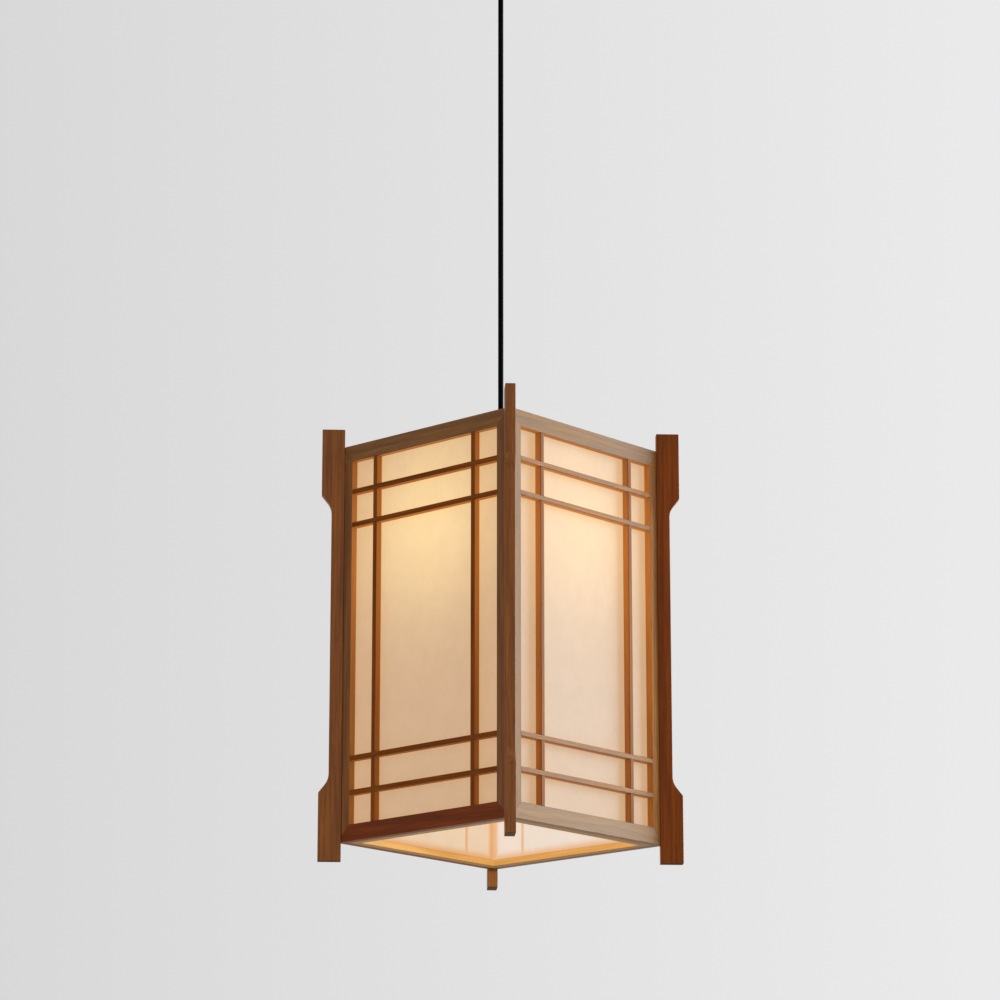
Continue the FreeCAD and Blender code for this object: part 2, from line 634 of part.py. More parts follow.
def ceiling_rose():
    """Cup, strap, bell mouthed cord grip with its nut, and terminal block."""
    outer = "size.canopy_diameter / 2"
    inner = f"({outer} - size.canopy_wall)"
    turn_x = f"({outer} - size.canopy_edge_radius)"
    turn_z = f"({CUP_LOW} + size.canopy_edge_radius)"
    hole = f"({STEM_R} + size.fit_gap / 2)"
    cup = (
        (inner, "0"),
        (outer, "0"),
        (outer, turn_z, turn_x, turn_z),
        (turn_x, CUP_LOW),
        (hole, CUP_LOW),
        (hole, CUP_FLOOR),
        (turn_x, CUP_FLOOR, turn_x, turn_z),
        (inner, turn_z),
    )
    place(turned("canopy", cup), "0")
    strap = new_body("bracket")
    breadth = "size.bracket_width / 2"
    reach = f"(sqrt({inner} ^ 2 - ({breadth}) ^ 2) - size.fit_gap)"
    low = "-size.bracket_thick"
    block(strap, "Additive", (f"-{reach}", f"-{breadth}", low), (reach, breadth, "0"))
    for _, side in SIDES:
        left, right = sorted((f"{side} * {reach}", f"{side} * ({reach} - size.bracket_thick)"), key=number)
        block(strap, "Additive", (left, f"-{breadth}", "-size.bracket_lug"), (right, breadth, low))
        centre = f"{side} * size.slot_spacing / 2"
        run = "(size.slot_length - size.slot_width) / 2"
        near = (f"{centre} - {run}", "-size.slot_width / 2", low)
        block(strap, "Subtractive", near, (f"{centre} + {run}", "size.slot_width / 2", "0"))
        for _, end in SIDES:
            rod(strap, "Subtractive", "size.slot_width", low, "0", f"{centre} + {end} * {run}")
    place(strap, "0")
    collar = "size.bell_collar_diameter / 2"
    flare = f"({CORD_WAY} + size.bell_length * tan(size.bell_angle))"
    stem_top = f"({CUP_FLOOR} + size.stem_length)"
    bell = (
        (CORD_WAY, stem_top),
        (STEM_R, stem_top),
        (STEM_R, CUP_LOW),
        (collar, CUP_LOW),
        (collar, THROAT),
        (f"{flare} + size.bell_lip", f"{MOUTH} + size.bell_lip"),
        (f"{flare} + size.bell_lip", MOUTH),
        (flare, MOUTH),
        (CORD_WAY, THROAT),
    )
    place(turned("ceiling_grip", bell), "0")
    place(hex_nut("ceiling_grip_nut", CUP_FLOOR), "0")
    terminal = new_body("terminal_block")
    length, width = "size.block_length / 2", "size.block_width / 2"
    block(terminal, "Additive", (f"-{length}", f"-{width}", BLOCK_LOW), (length, width, low))
    place(terminal, "0")


def export():
    """Test every object and write each node to its own file."""
    doc.removeObject("trial")
    doc.recompute()
    for item in doc.Objects:
        if "Invalid" in item.State or "Error" in item.State:
            raise RuntimeError(f"{item.Label} did not build")
    os.makedirs("parts", exist_ok=True)
    for node in nodes:
        if node.Shape.isNull() or not node.Shape.isValid():
            raise RuntimeError(f"{node.Label} has no valid shape")
        node.Shape.exportStep(f"parts/{node.Label}.step")


panels()
fins()
carrier()
lampholder()
bulb()
cords()
ceiling_rose()
export()
print(len(nodes), "nodes,", sum(len(node.Shape.Solids) for node in nodes), "solids")
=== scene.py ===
import math

import bmesh
import bpy
import numpy as np
from bpy.props import FloatProperty, FloatVectorProperty, IntProperty, PointerProperty
from mathutils import Euler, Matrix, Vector


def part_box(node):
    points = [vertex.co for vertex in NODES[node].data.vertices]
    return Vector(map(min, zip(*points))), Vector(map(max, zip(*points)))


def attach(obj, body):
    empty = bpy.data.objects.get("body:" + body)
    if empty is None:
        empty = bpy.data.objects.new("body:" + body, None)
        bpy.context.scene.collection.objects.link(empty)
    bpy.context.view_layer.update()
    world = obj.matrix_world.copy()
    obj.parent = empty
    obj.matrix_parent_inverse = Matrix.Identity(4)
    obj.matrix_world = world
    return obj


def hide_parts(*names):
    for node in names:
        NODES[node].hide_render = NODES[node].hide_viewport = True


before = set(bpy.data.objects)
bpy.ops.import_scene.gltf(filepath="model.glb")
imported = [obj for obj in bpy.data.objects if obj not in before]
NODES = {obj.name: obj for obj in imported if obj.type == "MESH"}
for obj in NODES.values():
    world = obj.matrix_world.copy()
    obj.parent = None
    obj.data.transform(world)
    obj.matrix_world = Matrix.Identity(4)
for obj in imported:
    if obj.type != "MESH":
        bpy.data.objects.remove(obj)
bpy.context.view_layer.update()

bl_info = {
    "name": "Wooden pendant light",
    "version": (1, 0, 0),
    "blender": (4, 5, 0),
    "location": "3D View > Sidebar > Pendant",
    "description": "Finishes, fittings, flex and studio for a latticed wooden pendant light",
    "category": "Object",
}

# Places read from the frame, in metres.
PANEL_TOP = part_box("front_rail_top")[1].z
PANEL_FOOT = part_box("front_rail_bottom")[0].z
PANEL_MIDDLE = (PANEL_TOP + PANEL_FOOT) / 2
PANEL_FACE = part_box("right_rail_top")[1].x
PANEL_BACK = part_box("right_sheet")[1].x
WINDOW_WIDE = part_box("front_stile_right")[0].x
WINDOW_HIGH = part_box("front_rail_top")[0].z - PANEL_MIDDLE
BULB_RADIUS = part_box("bulb_glass")[1].x
BULB_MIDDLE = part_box("bulb_glass")[0].z + BULB_RADIUS
GRIP_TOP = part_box("cord_grip")[1].z

# The cord's solid starts this far above the pivot that it swings on, and the flex starts at the pivot.
PIVOT_DEPTH = 0.003
CORD_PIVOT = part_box("cord")[1].z - PIVOT_DEPTH

# The middle lines of the lattice bars, measured from the middle of a panel.
BAR_HALF = 0.00275
LEVEL_STEP = 0.0375
UPRIGHT_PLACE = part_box("front_uprights")[1].x - BAR_HALF
LEVEL_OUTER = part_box("front_level_bars")[1].z - PANEL_MIDDLE - BAR_HALF
LEVEL_PLACES = (LEVEL_OUTER, LEVEL_OUTER - LEVEL_STEP)

# The radius of the threaded tube that goes up through the lampholder and into the cord grip.
STEM_RADIUS = 0.005

# How near a point comes to a turned piece's outer radius to take its knurls, ribs or thread, in metres.
WALL_SLACK = 0.0001

# Numbers of the axes.
X, Y, Z = range(3)

# Roughness and specular level of satin lacquer.
SATIN = (0.48, 0.3)

BLACK = (0, 0, 0, 1)
PANELS = ("front", "right", "back", "left")


class WoodFinish(bpy.types.PropertyGroup):
    """Lacquered hardwood of the frames, lattice and fins."""

    dark: FloatVectorProperty(
        name="Dark grain", description="Colour of the dark streaks",
        subtype="COLOR", size=3, default=(0.185, 0.055, 0.008), min=0, max=1,
    )
    light: FloatVectorProperty(
        name="Light grain", description="Colour between the streaks",
        subtype="COLOR", size=3, default=(0.335, 0.112, 0.020), min=0, max=1,
    )
    bare_dark: FloatVectorProperty(
        name="Bare dark grain", description="Dark streaks of the unstained battens",
        subtype="COLOR", size=3, default=(0.38, 0.185, 0.040), min=0, max=1,
    )
    bare_light: FloatVectorProperty(
        name="Bare light grain", description="Unstained battens between the streaks",
        subtype="COLOR", size=3, default=(0.51, 0.270, 0.067), min=0, max=1,
    )
    batten_glow: FloatVectorProperty(
        name="Batten glow", description="Lamplight on the inner faces of the battens",
        subtype="COLOR", size=3, default=(0.50, 0.245, 0.062), min=0, max=1,
    )
    reveal_glow: FloatVectorProperty(
        name="Reveal glow", description="Lamplight that the sheet throws on the reveals",
        subtype="COLOR", size=3, default=(0.33, 0.110, 0.020), min=0, max=1,
    )
    ring_width: FloatProperty(
        name="Ring width", description="Spacing of the growth rings",
        unit="LENGTH", default=0.0032, min=0.0005,
    )
    arris: FloatProperty(
        name="Arris", description="Width of the eased edges",
        unit="LENGTH", default=0.0005, min=0,
    )


class PaperFinish(bpy.types.PropertyGroup):
    """Translucent fibred sheets behind the lattice."""

    # The sheet's colour is a cool grey that paints the cool cast of the side lamp on the sheets.
    sheet: FloatVectorProperty(
        name="Sheet", description="Colour of the unlit sheet",
        subtype="COLOR", size=3, default=(0.138, 0.170, 0.204), min=0, max=1,
    )
    # Painted shade: a stile, rail or bar behind the sheet blocks light through it, drawn as this darker,
    # warmer tint on both faces.
    wood_shadow: FloatVectorProperty(
        name="Backed", description="Tint where wood lies behind the sheet",
        subtype="COLOR", size=3, default=(0.95, 0.66, 0.42), min=0, max=1,
    )
    glow: FloatVectorProperty(
        name="Glow", description="Even lamplight through the sheet",
        subtype="COLOR", size=3, default=(0.585, 0.345, 0.165), min=0, max=1,
    )
    beside: FloatVectorProperty(
        name="Beside", description="Tint of the lamplight in the narrow windows beside the stiles",
        subtype="COLOR", size=3, default=(1.0, 0.965, 0.91), min=0, max=1,
    )
    shaded_heart: FloatVectorProperty(
        name="Shaded heart", description="Added lamplight beside the bulb, front and left",
        subtype="COLOR", size=3, default=(0.360, 0.290, 0.105), min=0, max=1,
    )
    sunny_heart: FloatVectorProperty(
        name="Sunny heart", description="Added lamplight beside the bulb, right and back",
        subtype="COLOR", size=3, default=(0.310, 0.185, 0.050), min=0, max=1,
    )
    heart_spread: FloatProperty(
        name="Heart spread", description="Reach of the bright patch beside the bulb",
        unit="LENGTH", default=0.070,
    )
    heart_lift: FloatProperty(
        name="Heart lift", description="Bright patch above the bulb's middle",
        unit="LENGTH", default=0.018,
    )
    shaded_inside: FloatVectorProperty(
        name="Shaded inside", description="Lamplight on the inner face, front and left",
        subtype="COLOR", size=3, default=(0.75, 0.53, 0.33), min=0, max=1,
    )
    sunny_inside: FloatVectorProperty(
        name="Sunny inside", description="Lamplight on the inner face, right and back",
        subtype="COLOR", size=3, default=(0.79, 0.64, 0.52), min=0, max=1,
    )


class FittingFinish(bpy.types.PropertyGroup):
    """Metal, plastic and porcelain of the electrical fittings."""

    powder: FloatVectorProperty(
        name="Powder coat", description="Ceiling cup",
        subtype="COLOR", size=3, default=(0.020, 0.020, 0.021), min=0, max=1,
    )
    plastic: FloatVectorProperty(
        name="Black plastic", description="Lampholder and cord grips",
        subtype="COLOR", size=3, default=(0.018, 0.017, 0.016), min=0, max=1,
    )
    zinc: FloatVectorProperty(
        name="Zinc", description="Plated strap, threaded tube, nuts, washers and screws",
        subtype="COLOR", size=3, default=(0.58, 0.57, 0.54), min=0, max=1,
    )
    brass: FloatVectorProperty(
        name="Brass", description="Contacts and terminal screws",
        subtype="COLOR", size=3, default=(0.62, 0.42, 0.16), min=0, max=1,
    )
    porcelain: FloatVectorProperty(
        name="Porcelain", description="Core of the lampholder",
        subtype="COLOR", size=3, default=(0.78, 0.76, 0.70), min=0, max=1,
    )
    terminal: FloatVectorProperty(
        name="Terminal", description="Moulded terminal block",
        subtype="COLOR", size=3, default=(0.72, 0.72, 0.69), min=0, max=1,
    )
    knurl_count: IntProperty(name="Knurls", description="Ribs round the cord grip", default=36, min=8)
    rib_count: IntProperty(name="Ribs", description="Ribs round the lampholder skirt", default=40, min=8)


class BulbFinish(bpy.types.PropertyGroup):
    """Opal bulb with a rolled thread."""

    opal: FloatVectorProperty(
        name="Opal", description="Unlit glass",
        subtype="COLOR", size=3, default=(0.50, 0.47, 0.42), min=0, max=1,
    )
    lit: FloatVectorProperty(
        name="Lit", description="Colour of the lamplight",
        subtype="COLOR", size=3, default=(1.0, 0.87, 0.68), min=0, max=1,
    )
    alloy: FloatVectorProperty(
        name="Alloy", description="Rolled screw cap",
        subtype="COLOR", size=3, default=(0.66, 0.66, 0.64), min=0, max=1,
    )
    shine: FloatProperty(name="Shine", description="Brightness of the lit glass", default=0.82, min=0)
    lamp_power: FloatProperty(
        name="Lamp power", description="Light thrown inside the lantern", unit="POWER", default=0.5,
    )
    thread_pitch: FloatProperty(
        name="Thread pitch", description="Rise of one turn", unit="LENGTH", default=0.003629, min=0.001,
    )
    thread_depth: FloatProperty(
        name="Thread depth", description="Root to crest", unit="LENGTH", default=0.0011, min=0,
    )


class FlexFinish(bpy.types.PropertyGroup):
    """Round flex between the ceiling grip and the lantern."""

    diameter: FloatProperty(name="Diameter", description="Across the sheath", unit="LENGTH", default=0.006)
    length: FloatProperty(name="Length", description="Flex from grip to grip", unit="LENGTH", default=0.55)
    sheath: FloatVectorProperty(
        name="Sheath", description="Colour of the flex",
        subtype="COLOR", size=3, default=(0.0015, 0.0015, 0.0015), min=0, max=1,
    )


class StudioSettings(bpy.types.PropertyGroup):
    """Camera, lamps, backdrop and floor."""

    azimuth: FloatProperty(
        name="Azimuth", description="Camera round the cord", subtype="ANGLE", default=math.radians(42.02),
    )
    aim: FloatProperty(
        name="Aim", description="Camera turned aside from the cord", subtype="ANGLE", default=0.000215,
    )
    pitch: FloatProperty(
        name="Pitch", description="Camera tilted up", subtype="ANGLE", default=math.radians(14.61),
    )
    distance: FloatProperty(
        name="Distance", description="Camera to the cord", unit="LENGTH", default=3.980,
    )
    drop: FloatProperty(
        name="Drop", description="Camera below the panels' middle", unit="LENGTH", default=0.874,
    )
    lens: FloatProperty(name="Lens", description="Focal length", unit="CAMERA", default=134.2)
    ambient: FloatProperty(name="Ambient", description="Even light from all round", default=0.65, min=0)
    key_colour: FloatVectorProperty(
        name="Key colour", description="Colour of the large lamp",
        subtype="COLOR", size=3, default=(0.87, 0.99, 0.96), min=0, max=1,
    )
    key_power: FloatProperty(
        name="Key power", description="Large lamp at the side", unit="POWER", default=228.0, min=0,
    )
    key_size: FloatProperty(
        name="Key size", description="Side of the large lamp", unit="LENGTH", default=2.6,
    )
    key_distance: FloatProperty(
        name="Key distance", description="Large lamp to the panels' middle", unit="LENGTH", default=3.0,
    )
    key_way: FloatVectorProperty(
        name="Key way", description="The way from the panels' middle to the large lamp",
        subtype="DIRECTION", size=3, default=(0.35, 0.92, 0.20),
    )
    pale_left: FloatProperty(
        name="Backdrop left", description="Backdrop brightness at the left",
        subtype="FACTOR", default=0.684, min=0, max=1,
    )
    pale_right: FloatProperty(
        name="Backdrop right", description="Backdrop brightness at the right",
        subtype="FACTOR", default=0.829, min=0, max=1,
    )
    floor: FloatProperty(name="Floor", description="Height of the floor", unit="LENGTH", default=-5.2)


class Nodes:
    """The nodes of a material or a world. Each method adds nodes and gives back an output."""

    def __init__(self, tree):
        self.nodes = tree.nodes
        self.links = tree.links

    def node(self, kind, sockets, **settings):
        """A new node. Each socket gets a link from an output or a plain value."""
        node = self.nodes.new(f"ShaderNode{kind}")
        for key, value in settings.items():
            setattr(node, key, value)
        for key, value in sockets.items():
            if isinstance(value, bpy.types.NodeSocket):
                self.links.new(value, node.inputs[key])
            else:
                node.inputs[key].default_value = value
        return node

    def add(self, kind, sockets, out=0, **settings):
        """The output of a new node."""
        return self.node(kind, sockets, **settings).outputs[out]

    def alone(self, operation, value):
        """An operation on one number."""
        return self.add("Math", {0: value}, operation=operation)

    def maths(self, operation, first, *others):
        """An operation on two or more numbers, from left to right."""
        for other in others:
            first = self.add("Math", {0: first, 1: other}, operation=operation)
        return first

    def plus(self, a, b):
        return self.maths("ADD", a, b)

    def less(self, a, b):
        return self.maths("SUBTRACT", a, b)

    def times(self, *numbers):
        return self.maths("MULTIPLY", *numbers)

    def most(self, *numbers):
        return self.maths("MAXIMUM", *numbers)

    def size(self, number):
        return self.alone("ABSOLUTE", number)

    def parts(self, vector):
        """The three numbers of a vector."""
        return list(self.node("SeparateXYZ", {0: vector}).outputs)

    def dot(self, a, b):
        """How far two vectors go the same way."""
        return self.add("VectorMath", {0: a, 1: b}, "Value", operation="DOT_PRODUCT")

    def ease(self, value, low, high, start=0.0, end=1.0):
        """A smooth step from start to end as the value goes from low to high."""
        sockets = {0: value, 1: low, 2: high, 3: start, 4: end}
        return self.add("MapRange", sockets, interpolation_type="SMOOTHSTEP")

    def blend(self, factor, a, b, kind="MIX"):
        """A colour between two others, or their product."""
        return self.add("Mix", {0: factor, 6: a, 7: b}, 2, data_type="RGBA", blend_type=kind)

    def seen(self):
        """One for what the camera sees, also mirrored or through glass, and nought for other light."""
        path = self.node("LightPath", {}).outputs
        return self.most(path["Is Camera Ray"], path["Is Glossy Ray"], path["Is Transmission Ray"])


class Finish(Nodes):
    """One material: a surface and the nodes that feed it."""

    def __init__(self, name, rough=0.5, specular=0.5, metallic=0.0):
        self.material = bpy.data.materials.new(name)
        self.material.use_nodes = True
        super().__init__(self.material.node_tree)
        self.skin = self.nodes["Principled BSDF"]
        self.skin.inputs["Roughness"].default_value = rough
        self.skin.inputs["Specular IOR Level"].default_value = specular
        self.skin.inputs["Metallic"].default_value = metallic

    def wear(self, socket, value):
        """Link an output to one of the surface's own sockets."""
        self.links.new(value, self.skin.inputs[socket])

    def shine(self, colour, strength=1.0):
        """Let the surface give light of its own."""
        self.wear("Emission Color", colour)
        self.skin.inputs["Emission Strength"].default_value = strength

    def bump(self, height, distance, strength):
        """Fine relief, with its depth in metres."""
        normal = self.add("Bump", {"Strength": strength, "Distance": distance, "Height": height})
        self.wear("Normal", normal)

    def place(self):
        """Where the point is on the piece, in metres."""
        return self.add("TexCoord", {}, "Object")

    def facing(self):
        """The way the face looks, in the piece's own directions."""
        looks = self.add("NewGeometry", {}, "True Normal")
        return self.add(
            "VectorTransform", {0: looks}, vector_type="NORMAL", convert_from="WORLD", convert_to="OBJECT",
        )

    def noise(self, vector, scale, detail=2.0, rough=0.5):
        """Smooth noise, with this many waves to the metre."""
        sockets = {"Vector": vector, "Scale": scale, "Detail": detail, "Roughness": rough}
        return self.add("TexNoise", sockets)

    def stretch(self, vector, scale, shift=(0, 0, 0), turn=(0, 0, 0)):
        """Places drawn out or squeezed, turned and shifted, for a pattern to follow."""
        return self.add("Mapping", {0: vector, 1: shift, 2: turn, 3: scale})


def paint(colour, factor=1.0):
    """A colour with its alpha, brightened or darkened."""
    return (*(min(1.0, part * factor) for part in colour), 1.0)


def tinted(colour, tint):
    """A colour times a tint, channel by channel."""
    return tuple(part * share for part, share in zip(colour, tint))


def panel_axes(panel):
    """The axis that runs across a panel and the one that goes through it."""
    return (X, Y) if panel in ("front", "back") else (Y, X)


def late_wood(finish, place, grain, bend, seed):
    """The dark side of the growth rings: a saw wave across the grain, bent by noise."""
    look = bpy.context.scene.pendant_wood
    first, second = (part for axis, part in enumerate(finish.parts(place)) if axis != grain)
    slope = 0.55 + 0.25 * math.sin(2.1 * seed)
    across = finish.plus(finish.times(first, slope), finish.times(second, 1 - slope))
    ring = finish.plus(finish.maths("DIVIDE", across, look.ring_width), finish.times(bend, 5.0))
    return finish.ease(finish.alone("FRACT", ring), 0.35, 0.95)


def wood(name, grain, dark, light, seed, sheen=SATIN):
    """Straight grained hardwood.

    Streaks are noise drawn out along the grain axis. Growth rings are bent by broad noise. Pores are short
    fine dashes. End grain is darker and duller.
    """
    rough, specular = sheen
    finish = Finish(name, specular=specular)
    place = finish.place()
    shift = tuple(0.37 * seed * step for step in (1.0, 0.7, 1.3))

    def drawn_out(share, **noise):
        """Noise whose pattern is longer along the grain, where its scale has only this share."""
        scale = [share if axis == grain else 1.0 for axis in (X, Y, Z)]
        return finish.noise(finish.stretch(place, scale, shift), **noise)

    streak = drawn_out(0.05, scale=170, detail=5, rough=0.62)
    broad = drawn_out(0.16, scale=22)
    pores = finish.ease(drawn_out(0.035, scale=1500, detail=1), 0.60, 0.72)
    late = late_wood(finish, place, grain, broad, seed)
    end = finish.ease(finish.size(finish.parts(finish.facing())[grain]), 0.75, 0.95)
    colour = finish.blend(finish.ease(streak, 0.30, 0.70), paint(dark), paint(light))
    colour = finish.blend(finish.times(late, 0.38), colour, paint(dark, 0.85))
    colour = finish.blend(finish.times(pores, 0.45), colour, paint(dark, 0.45))
    finish.wear("Base Color", finish.blend(finish.times(end, 0.8), colour, paint(dark, 0.35)))
    dull = finish.ease(streak, 0.25, 0.75, rough - 0.06, rough + 0.06)
    finish.wear("Roughness", finish.plus(dull, finish.times(end, 0.4)))
    finish.bump(finish.less(finish.times(streak, 0.5), pores), distance=0.0001, strength=0.3)
    return finish


def lamplit(finish, share, dark, light, factor=0.5):
    """Let the lamp show on a share of the surface, between two colours of light."""
    finish.shine(finish.blend(share, BLACK, finish.blend(factor, dark, light)))
    finish.material.cycles.emission_sampling = "NONE"


def inward(finish):
    """One on upright faces that look towards the cord's axis and nought on the others.

    The way a face looks times its place is less than nought where it looks back at the axis, by about its
    distance from it.
    """
    facing = finish.facing()
    towards = finish.ease(finish.dot(facing, finish.place()), -0.09, -0.06, 1.0, 0.0)
    upright = finish.ease(finish.size(finish.parts(facing)[Z]), 0.3, 0.6, 1.0, 0.0)
    return finish.times(towards, upright)


def lit_ends(finish):
    """Lamplight on the inner edges of a fin where it stands past the panels."""
    look = bpy.context.scene.pendant_wood
    level = finish.size(finish.less(finish.parts(finish.place())[Z], PANEL_MIDDLE))
    half = (PANEL_TOP - PANEL_FOOT) / 2
    fade = 0.004
    share = finish.times(inward(finish), finish.ease(level, half, half + fade))
    lamplit(finish, share, paint(look.reveal_glow, 0.35), paint(look.reveal_glow, 0.5))


def lit_reveals(finish, across, through):
    """Lamplight on the faces that look along the panel.

    It is nearly even in depth, strongest at the bulb's height and ends just outside the window's edges.
    """
    look = bpy.context.scene.pendant_wood
    parts = finish.parts(finish.place())
    facing = finish.size(finish.parts(finish.facing())[through])
    aside = finish.ease(facing, 0.3, 0.7, 1.0, 0.0)
    deep = finish.ease(finish.size(parts[through]), PANEL_BACK, PANEL_FACE, 0.88, 0.80)
    past = 0.0004
    wide = finish.ease(finish.size(parts[across]), WINDOW_WIDE + past, WINDOW_WIDE + 2 * past, 1.0, 0.0)
    level = finish.size(finish.less(parts[Z], PANEL_MIDDLE))
    high = finish.ease(level, WINDOW_HIGH + past, WINDOW_HIGH + 2 * past, 1.0, 0.0)
    from_bulb = finish.size(finish.less(parts[Z], BULB_MIDDLE))
    strong = finish.ease(from_bulb, 0.0, 0.20, 0.98, 0.47)
    share = finish.times(aside, deep, wide, high, strong)
    lamplit(finish, share, paint(look.reveal_glow, 0.94), paint(look.reveal_glow, 1.06))


def batten_wood(name, seed):
    """Unstained batten ring: the grain follows whichever side of the square the point lies on.

    Faces that look towards the middle of the lantern take the lamplight.
    """
    look = bpy.context.scene.pendant_wood
    finish = Finish(name, specular=0.3)
    x, y, z = finish.parts(finish.place())
    side = finish.maths("GREATER_THAN", finish.size(x), finish.size(y))
    long_way = finish.add("Mix", {0: side, 2: x, 3: y})
    cross_way = finish.add("Mix", {0: side, 2: y, 3: x})
    flat = finish.add("CombineXYZ", {0: long_way, 1: cross_way, 2: z})
    shift = (seed, 0, 0)
    streak = finish.noise(finish.stretch(flat, (0.05, 1, 1), shift), scale=190, detail=5, rough=0.6)
    dashes = finish.noise(finish.stretch(flat, (0.04, 1, 1), shift), scale=1500, detail=1)
    pores = finish.ease(dashes, 0.60, 0.72)
    colour = finish.blend(finish.ease(streak, 0.3, 0.7), paint(look.bare_dark), paint(look.bare_light))
    finish.wear("Base Color", finish.blend(finish.times(pores, 0.3), colour, paint(look.bare_dark, 0.6)))
    finish.wear("Roughness", finish.ease(streak, 0.25, 0.75, 0.48, 0.60))
    finish.bump(finish.less(streak, pores), distance=0.0001, strength=0.5)
    glow = finish.ease(streak, 0.25, 0.75)
    lamplit(finish, inward(finish), paint(look.batten_glow, 0.85), paint(look.batten_glow, 1.1), glow)
    return finish.material


def backing(finish, wide, level):
    """One where a stile, a rail or a bar lies against the sheet and its painted shade falls, softly edged;
    nought in the windows.
    """
    soft = 0.0008
    stiles = finish.ease(wide, WINDOW_WIDE - soft, WINDOW_WIDE + 8 * soft)
    rails = finish.ease(level, WINDOW_HIGH - soft, WINDOW_HIGH + 12 * soft)
    bars = []
    for value, middle in ((wide, UPRIGHT_PLACE), *((level, place) for place in LEVEL_PLACES)):
        off = finish.size(finish.less(value, middle))
        bars.append(finish.ease(off, BAR_HALF - 2 * soft, BAR_HALF, 0.9, 0.0))
    return finish.most(stiles, rails, *bars)


def fibres(finish, place, across):
    """Thin ridges that cross three ways, each where stretched noise passes through its middle value."""
    ridges = []
    for turn in (0.5, -0.8, 1.9):
        spin = (0, turn, 0) if across == X else (turn, 0, 0)
        thread = finish.noise(finish.stretch(place, (1, 1, 0.12), (turn, 0, 0), spin), scale=420, detail=1)
        ridges.append(finish.ease(finish.size(finish.less(thread, 0.5)), 0.0, 0.03, 1.0, 0.0))
    return finish.most(*ridges)


def light_through(finish, heart, wide, height, body):
    """Lamplight on the outer face of a sheet.

    It is an even glow plus a bell curve round the bulb's height and the panel's middle, tinted in the narrow
    windows.
    """
    look = bpy.context.scene.pendant_paper
    drop = finish.less(height, BULB_MIDDLE + look.heart_lift)
    far = finish.plus(finish.times(drop, drop), finish.times(wide, wide))
    bell = finish.alone("EXPONENT", finish.times(far, -0.5 / look.heart_spread**2))
    light = finish.add("VectorMath", {0: heart, 1: bell, 2: look.glow}, operation="MULTIPLY_ADD")
    light = finish.blend(1.0, light, body, "MULTIPLY")
    narrow = finish.ease(wide, UPRIGHT_PLACE - 0.02, UPRIGHT_PLACE + 0.01)
    return finish.blend(narrow, light, paint(look.beside), "MULTIPLY")


def light_within(finish, inside, wood_shadow, height, body):
    """Lamplight on the inner face of a sheet: dimmer towards the top, and painted darker and warmer where
    wood lies behind.
    """
    look = bpy.context.scene.pendant_paper
    light = finish.blend(wood_shadow, paint(inside), paint(tinted(inside, look.wood_shadow)))
    fall = finish.ease(height, PANEL_FOOT + 0.075, PANEL_FOOT + 0.275, 1.0, 0.65)
    return finish.blend(1.0, light, finish.times(body, fall), "MULTIPLY")


def paper(name, panel, heart, inside):
    """Fibred translucent sheet with the lamp behind it.

    Its body is cloudy and a little darker along the fibres. The two faces take the lamplight differently.
    Where wood lies behind, both take a painted shadow.
    """
    look = bpy.context.scene.pendant_paper
    across, through = panel_axes(panel)
    finish = Finish(name, rough=0.62, specular=0.2)
    place = finish.place()
    parts = finish.parts(place)
    wide, height = finish.size(parts[across]), parts[Z]
    wood_shadow = backing(finish, wide, finish.size(finish.less(height, PANEL_MIDDLE)))
    fibre = fibres(finish, place, across)
    cloud = finish.ease(finish.noise(place, scale=55, detail=4, rough=0.6), 0.3, 0.7, 0.975, 1.015)
    body = finish.less(cloud, finish.times(fibre, 0.035))
    # Painted shade of the wood behind darkens and warms the sheet's colour there.
    colour = finish.blend(wood_shadow, paint(look.sheet), paint(tinted(look.sheet, look.wood_shadow)))
    finish.wear("Base Color", finish.blend(1.0, colour, body, "MULTIPLY"))
    facing = finish.parts(finish.facing())[through]
    outer = finish.ease(finish.times(facing, parts[through]), 0, 0.01)
    within = light_within(finish, inside, wood_shadow, height, body)
    finish.shine(finish.blend(outer, within, light_through(finish, heart, wide, height, body)))
    finish.bump(fibre, distance=0.00004, strength=0.4)
    return finish.material


def coated(name, colour, rough, grain, bump=0.00002, metallic=0.0, specular=0.5):
    """A coated, moulded or metal surface: mottled by fine noise in its colour, its sheen and its relief."""
    finish = Finish(name, specular=specular, metallic=metallic)
    place = finish.place()
    fine = finish.noise(place, scale=grain, detail=3, rough=0.55)
    patches = finish.ease(finish.noise(place, scale=grain * 0.06), 0.3, 0.7)
    finish.wear("Base Color", finish.blend(patches, paint(colour, 0.86), paint(colour, 1.12)))
    finish.wear("Roughness", finish.ease(fine, 0.3, 0.7, rough * 0.85, min(1.0, rough * 1.15)))
    finish.bump(fine, distance=bump, strength=0.6)
    return finish.material


def opal(name):
    """Lit opal glass: brightest round the globe and dimmer up the neck."""
    look = bpy.context.scene.pendant_bulb
    finish = Finish(name, rough=0.22)
    place = finish.place()
    cloud = finish.ease(finish.noise(place, scale=60), 0.3, 0.7, 0.97, 1.0)
    finish.wear("Base Color", finish.blend(1.0, paint(look.opal), cloud, "MULTIPLY"))
    neck = finish.ease(finish.parts(place)[Z], BULB_MIDDLE + 0.012, BULB_MIDDLE + 0.045, 1.0, 0.55)
    finish.shine(finish.blend(finish.times(neck, cloud), BLACK, paint(look.lit)), look.shine)
    return finish.material


